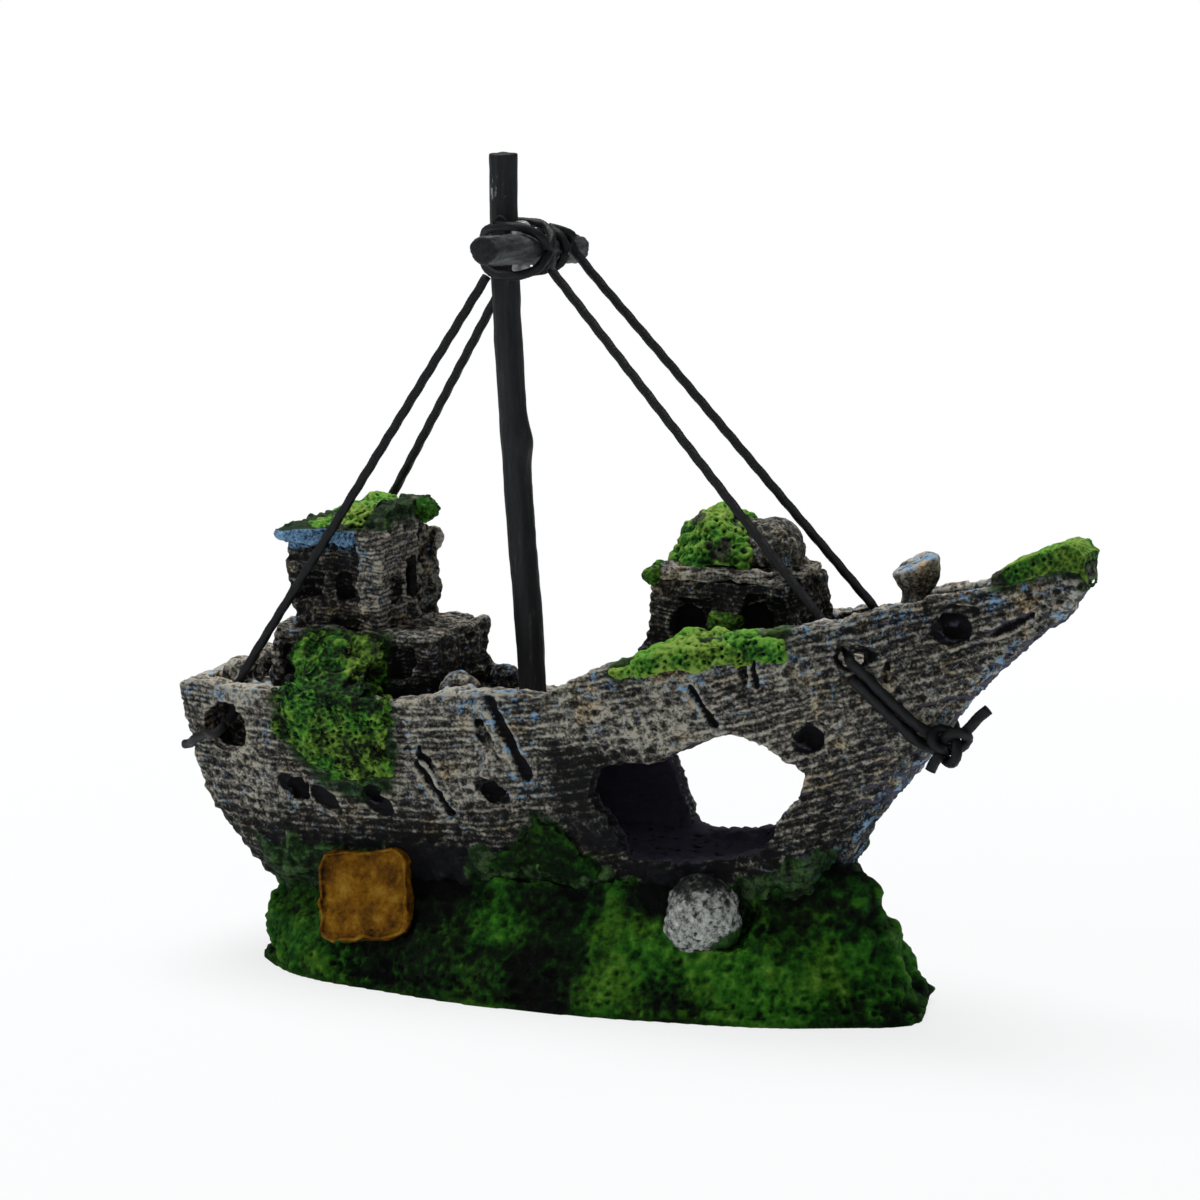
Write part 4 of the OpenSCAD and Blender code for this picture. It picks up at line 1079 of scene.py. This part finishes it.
def plaque_form(point):
    return ragged(point + Vector((-1, 0, -0.8)) * MM, 0.6, 0.6, 0.22)


def plaque_masks(point, normal):
    return {
        "dirt_and_shade": 0.35 * smooth(abs(normal.x), 0.4, 0.8),
        "moss": 0.9 * smooth(point.z / MM + 1.2 * rough(point, 0.5), 7.6, 5.6)}


ochre = plain("ochre", 0.7, ochre_colour, 0.6, gloss=0.12)
cast("plaque", 0.24, ochre, plaque_move, plaque_masks, form=plaque_form, soften=3)

# ---- White shell ----
# A chalky white stone on the rock, speckled and pocked. It is dirty on top, and moss has crept
# onto its foot on the fore side.
def shell_move(point, normal):
    pit = 1 - smooth(cells(point, 1.5), 0.08, 0.32)
    return 0.3 * rough(point, 0.25) + 0.08 * rough(point, 1.1) - 0.3 * pit


def chalk_colour(tree, where):
    speck = scaled(tree, stored(tree, "relief_and_top_highlight"), 0.5, grain(tree, where, 1000, 5, 0.8))
    # Darker where shut in, as painted shade, and on the shell's top.
    speck = minus(tree, speck, scaled(tree, stored(tree, "dirt_and_shade"), 0.4, 0.19))
    chalk = ramp(tree, speck, (0.32, rgb(14, 15, 14)), (0.47, rgb(70, 72, 68)), (0.6, rgb(176, 178, 172)),
                 (0.8, rgb(232, 234, 229)))
    return mossed(tree, where, chalk)


def shell_form(point):
    x, y, z = point / MM
    return ragged(Vector((x - 2, y, z - 0.08 * max(0, z - 9.4))) * MM, 0.8, 0.6, 0.25)


def shell_masks(point, normal):
    x, y, z = point / MM
    return {
        "dirt_and_shade": 0.55 * smooth(z + 2 * rough(point, 0.5), 17, 19.5),
        "moss": smooth(x - z + 2 * rough(point, 0.4), 6, 10)}


chalk = plain("chalk", 0.7, chalk_colour)
cast("white_shell", 0.24, chalk, shell_move, shell_masks, form=shell_form)

# ---- Mast and spar ----
# Two twigs stained black, with bark grain along them. The mast has a burr halfway up and a pale
# scuffed head, and the glue has set in pale beads.
def wood_colour(tree, where):
    bark = grain(tree, where, 900, 4, 0.7, stretch=(1, 1, 0.12))
    bark = ramp(tree, bark, (0.3, rgb(14, 14, 16)), (0.6, rgb(34, 34, 37)), (0.8, rgb(78, 77, 76)))
    scuff = plus(tree, grain(tree, where, 1500, 4, 0.7, stretch=(1, 1, 0.4)), stored(tree, "scuff"))
    return tint(tree, span(tree, scuff, 0.98, 1.16), bark, rgb(150, 150, 148))


def wood_height(tree, where):
    return grain(tree, where, 1100, 4, 0.7, stretch=(1, 1, 0.15))


BURR = on_surface(skin(NODES["mast"].data), *POINTS["burr"])[0]


def mast_move(point, normal):
    stretched = Vector((point.x, point.y, point.z * 0.12))
    burr = 0.75 * exp(-((point - BURR).length / (2.2 * MM)) ** 2)
    return 0.10 * rough(stretched, 0.9) + 0.12 * rough(point, 0.12) + burr - 0.02


black_wood = plain("black_wood", 0.62, wood_colour, 0.5, wood_height)
SCUFF = Vector((-22, -2.1, 115)) * MM
cast("mast", 0.26, black_wood, mast_move,
     lambda p, n: {"scuff": 0.5 * exp(-((p - SCUFF).length / (4 * MM)) ** 2)})


def spar_colour(tree, where):
    bark = grain(tree, where, 900, 4, 0.7, stretch=(1, 0.15, 1))
    bark = ramp(tree, bark, (0.3, rgb(20, 20, 22)), (0.52, rgb(58, 59, 61)), (0.75, rgb(118, 117, 114)))
    return tint(tree, stored(tree, "dirt_and_shade"), bark, rgb(10, 10, 11))


def spar_height(tree, where):
    return grain(tree, where, 1100, 4, 0.7, stretch=(1, 0.15, 1))


cast("spar", 0.24, plain("spar_wood", 0.6, spar_colour, 0.5, spar_height),
     lambda p, n: 0.2 * rough(Vector((p.x, p.y * 0.15, p.z)), 0.9) + 0.16 * rough(p, 0.5) + 0.15,
     lambda p, n: {"dirt_and_shade": 0.85 * smooth(abs(n.y), 0.6, 0.9)}, shade=0)
glue = plain("glue", 0.25, lambda tree, where: ramp(
    tree, grain(tree, where, 700, 3, 0.6), (0.35, rgb(170, 172, 168)), (0.7, rgb(232, 233, 230))))
cast("glue_beads", 0.16, glue, lambda p, n: 0.35 + 0.25 * rough(p, 0.6))

# ---- Rigging ----
# One waxed black cord of three strands, lightly twisted. Each stretch follows its CAD route through
# smoothed points, and a loose thread, which is only here, stands up from the lashing.
def cord_colour(tree, where):
    dust = times(tree, grain(tree, where, 1900, 4, 0.7), 0.6)
    return ramp(tree, dust, (0.25, rgb(10, 10, 12)), (0.6, rgb(25, 25, 28)), (0.9, rgb(64, 64, 68)))


def cord_height(tree, where):
    return grain(tree, where, 2400, 3, 0.6)


cord_black = plain("cord", 0.55, cord_colour, 0.35, cord_height)
CORD_R = 0.7
TWIST = 3.4
STRANDS = 3
ROUND = 18
outline = bpy.data.curves.new("strands", "CURVE")
outline.dimensions = "2D"
ring = outline.splines.new("POLY")
ring.points.add(ROUND - 1)
for i, point in enumerate(ring.points):
    turn = 2 * pi * i / ROUND
    r = CORD_R * MM * (0.97 + 0.06 * cos(STRANDS * turn))
    point.co = (r * cos(turn), r * sin(turn), 0, 1)
ring.use_cyclic_u = True
profile = placed("strands", outline)


def eased(points, closed, step=0.6):
    """Points along a smooth line through the given ones, about step millimetres apart."""
    line = []
    n = len(points)
    for i in range(n if closed else n - 1):
        a, b = points[i], points[(i + 1) % n]
        before = points[i - 1] if closed or i > 0 else a * 2 - b
        after = points[(i + 2) % n] if closed or i + 2 < n else b * 2 - a
        count = max(1, round((b - a).length / step))
        for k in range(count):
            t = k / count
            line.append(0.5 * (2 * a + (b - before) * t + (2 * before - 5 * a + 4 * b - after) * t * t
                               + (3 * a - before - 3 * b + after) * t ** 3))
    return line if closed else line + [points[-1]]


def cord(name, routes, thick=1.0, node=True):
    """Cords along routes in millimetres, each a list of points and whether it closes."""
    curve = bpy.data.curves.new(name, "CURVE")
    curve.dimensions = "3D"
    curve.bevel_mode = "OBJECT"
    curve.bevel_object = profile
    curve.use_fill_caps = True
    curve.twist_mode = "MINIMUM"
    for points, closed in routes:
        line = eased([Vector(p) for p in points], closed)
        spline = curve.splines.new("POLY")
        spline.points.add(len(line) - 1)
        spline.use_cyclic_u = closed
        gone = 0.0
        for i, (point, place) in enumerate(zip(spline.points, line)):
            gone += (place - line[i - 1]).length if i else 0.0
            point.co = (*(place * MM), 1)
            point.tilt = 2 * pi * gone / TWIST / STRANDS
            point.radius = thick
    draft = placed(name, curve)
    mesh = as_seen(draft)
    bpy.data.objects.remove(draft)
    merge(mesh, mesh)
    mesh.materials.clear()
    mesh.materials.append(cord_black)
    mesh.shade_smooth()
    piece = placed(name + "_piece", mesh)
    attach(piece, "root")
    if node:
        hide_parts(name)
    return piece


BOW_STARBOARD = [(34.8, -9.09, 54.8), (36.3, -10.09, 53.4), (37.2, -11.49, 53)]
STERN_STARBOARD = [(-59.3, -12.05, 39.7), (-59.6, -13.05, 37.2), (-60.1, -14.65, 36.1)]


def port(points):
    return [(x, -y, z) for x, y, z in points]


def there_and_back(points):
    return points + port(points)[::-1]


cord("forestay_starboard", [([(-13.2, -1.2, 104.2), (1.95, -3.81, 88.59), (17.55, -6.49, 72.51),
                              (32.7, -9.09, 56.9)] + BOW_STARBOARD, False)])
cord("forestay_port", [([(-17.45, 7.4, 109.3), (-14.75, 9.4, 108.1), (-13.9, 10.2, 104.9),
                         (1.48, 9.84, 89.06), (17.32, 9.46, 72.74), (32.7, 9.09, 56.9)]
                        + port(BOW_STARBOARD), False)])
cord("aft_stay_starboard", [([(-22.7, -2.6, 102.9), (-34.31, -5.92, 83.33), (-46.28, -9.34, 63.17),
                              (-57.9, -12.65, 43.6)] + STERN_STARBOARD, False)])
cord("aft_stay_port", [([(-21.75, 2.8, 102.8), (-34.01, 5.72, 83.26), (-46.64, 8.73, 63.14),
                         (-58.9, 11.65, 43.6)] + port(STERN_STARBOARD), False)])
cord("stern_loop", [(there_and_back([
    (-60.1, -14.65, 36.1), (-60.7, -16.25, 35), (-63, -14.78, 34.6), (-65.5, -13.67, 33.4),
    (-67.15, -12.25, 32.4), (-68.45, -11.4, 31.9), (-68.73, -8, 31.6)]), False)])
cord("bow_wrap", [
    (there_and_back([
        (37.2, -11.49, 53), (38, -12.89, 52.6), (39.2, -11.51, 50.9), (41.2, -9.89, 48.3), (43.4, -8, 45.5),
        (45.6, -5.92, 42.9), (47.9, -2.8, 40.9), (47.76, -1, 40.3)]), False),
    (there_and_back([
        (37.6, -12.17, 50.3), (39.4, -10.78, 48.1), (41.4, -9.08, 45.5), (43.4, -7.24, 42.9),
        (44.8, -5.65, 40.9), (46.57, -2.8, 39.1), (46.43, -1, 38.5)]), False)], 1.1)

KNOT = Vector((49.66, -4.6, 40.6))
knot_turn = Matrix.Rotation(radians(10), 3, "Z") @ Matrix.Rotation(radians(90), 3, "X")


def round_turn(count):
    """The angles of one turn in equal steps."""
    return [2 * pi * i / count for i in range(count)]


trefoil = [
    KNOT + knot_turn @ (0.9 * Vector((sin(a) + 2 * sin(2 * a), cos(a) - 2 * cos(2 * a), -1.1 * sin(3 * a))))
    for a in round_turn(26)]
cord("bow_knot", [
    (trefoil, True),
    ([(51.26, -4.4, 41.6), (52.26, -3.8, 43), (53.46, -3.2, 44.4), (54.66, -2.8, 45.6)], False),
    ([(48.66, -5.4, 39.2), (47.86, -5.8, 38), (47.26, -6, 36.8)], False)], 1.18)

LASH = Vector((-16.85, 0, 106.8))
MAST_X = -21.1
MAST_D = 4.3
SPAR_D = 4.1
SPAR_DROOP = radians(5)
reach = MAST_D / 2 + SPAR_D / 2 + CORD_R + 0.1


def signed_pow(value, power):
    return (1 if value > 0 else -1) * abs(value) ** power


def crossing_turn(tilt):
    """A turn of the lashing round mast and spar together, aslant by tilt degrees."""
    side = Vector((0, cos(radians(tilt)), sin(radians(tilt))))
    middle = Vector(((MAST_X + LASH.x) / 2, 0, LASH.z))
    return [
        middle + Vector((reach * signed_pow(cos(a), 0.8), 0, 0))
        + (reach - 0.2) * signed_pow(sin(a), 0.8) * side
        for a in round_turn(18)], True


OUTBOARD = 5.8
spar_reach = SPAR_D / 2 + CORD_R + 0.05
spar_z = LASH.z - OUTBOARD * sin(SPAR_DROOP)
spar_turn = [
    Vector((LASH.x + spar_reach * cos(a), OUTBOARD, spar_z + spar_reach * sin(a))) for a in round_turn(12)]
cord("mast_lashing", [crossing_turn(48), crossing_turn(-48), (spar_turn, True)])
cord("loose_thread", [([(-21.7, -3, 109.4), (-21.2, -3.4, 111), (-20.2, -3.5, 111.8), (-19.2, -3.4, 111.2),
                        (-18.7, -3, 109.6)], False)], 0.2, False)
bpy.data.objects.remove(profile)

# ---- How true the image points are ----
# Each thing's distance from its point, by the vertices that show in the picture. The edges of the
# outline are those of everything but the cords.
PIECES = {o.name: o.data for o in bpy.data.objects if o.name.endswith("_piece") or o.name in POINTS}
ALL = skin(*PIECES.values())
EYE = camera.matrix_world.translation
NEARBY = 70
ENOUGH = 1500


def shows(place):
    way = Vector(place) - EYE
    far = ALL.ray_cast(EYE, way.normalized())[3]
    return far is None or far > way.length - 0.5 * MM


def middle_of(name, chosen=lambda p: True, about=None):
    """The middle of what shows of a piece, or of the part of it that is chosen near an image point."""
    places = numbers(PIECES[name], "co", 3)
    if about:
        gap = in_picture(places) - np.array(POINTS[about])
        places = places[(abs(gap) < NEARBY).all(axis=1)]
    places = np.array([p for p in places if chosen(Vector(p))])
    seen = np.array([p for p in places[::max(1, len(places) // ENOUGH)] if shows(p)])
    if not len(seen):
        return None
    spots = in_picture(seen)
    return (spots.min(axis=0) + spots.max(axis=0)) / 2


def near_score(index):
    middle, run, rise, wide = SCORES[index]
    half = Vector((0.6 * run, 0, -0.6 * rise)) * MM
    return lambda p: scored(p) > 0.7 and abs(p.x - middle.x) < half.x and abs(p.z - middle.z) < half.z


def near_porthole(u, v, wide, high, lean):
    return lambda p: p.y < 0 and ((p.x / MM - u) / wide) ** 2 + ((p.z / MM - v) / high) ** 2 < 0.2


found = {
    "mast_top": middle_of("mast_piece", lambda p: p.z > 0.12),
    "spar_near_end": middle_of("spar_piece", lambda p: p.y < -15.6 * MM),
    "burr": middle_of("mast_piece", lambda p: (p - BURR).length < 0.9 * MM),
    "crest_moss": middle_of("crest_moss"),
    "cabin_peak": middle_of("moss_cabin_piece", lambda p: p.z > 70.2 * MM),
    "eaves_moss": middle_of("eaves_moss"),
    "window_moss": middle_of("window_moss"),
    "cabin_window": middle_of(
        "fore_cabin_piece", lambda p: windowed(p) > 0.5 and p.x / MM < WINDOW.x + 4, "cabin_window"),
    "upper_porthole": middle_of("hull_piece", near_porthole(*PORTHOLES[0]), "upper_porthole"),
    "lower_porthole": middle_of("hull_piece", near_porthole(*PORTHOLES[1]), "lower_porthole"),
    "gouge": middle_of("hull_piece", near_score(0), "gouge"),
    "cut": middle_of("hull_piece", near_score(1), "cut"),
    "split": middle_of("hull_piece", near_score(2), "split"),
    "rope_arch": middle_of("hull_piece", lambda p: p.y < 0 and (p - ARCH).length < 2.5 * MM, "rope_arch"),
    "plaque": middle_of("plaque_piece"),
    "shell": middle_of("white_shell_piece"),
}
off = {name: [round(float(c), 1) for c in spot - np.array(POINTS[name])] if spot is not None else "hidden"
       for name, spot in found.items()}
solid = [
    in_picture(numbers(mesh, "co", 3)) for mesh in PIECES.values() if cord_black.name not in mesh.materials]
low = np.min([spots.min(axis=0) for spots in solid], axis=0)
high = np.max([spots.max(axis=0) for spots in solid], axis=0)
for name, value in {"left": low[0], "right": high[0], "top": low[1], "bottom": high[1]}.items():
    off[name] = round(float(value) - EDGES[name], 1)
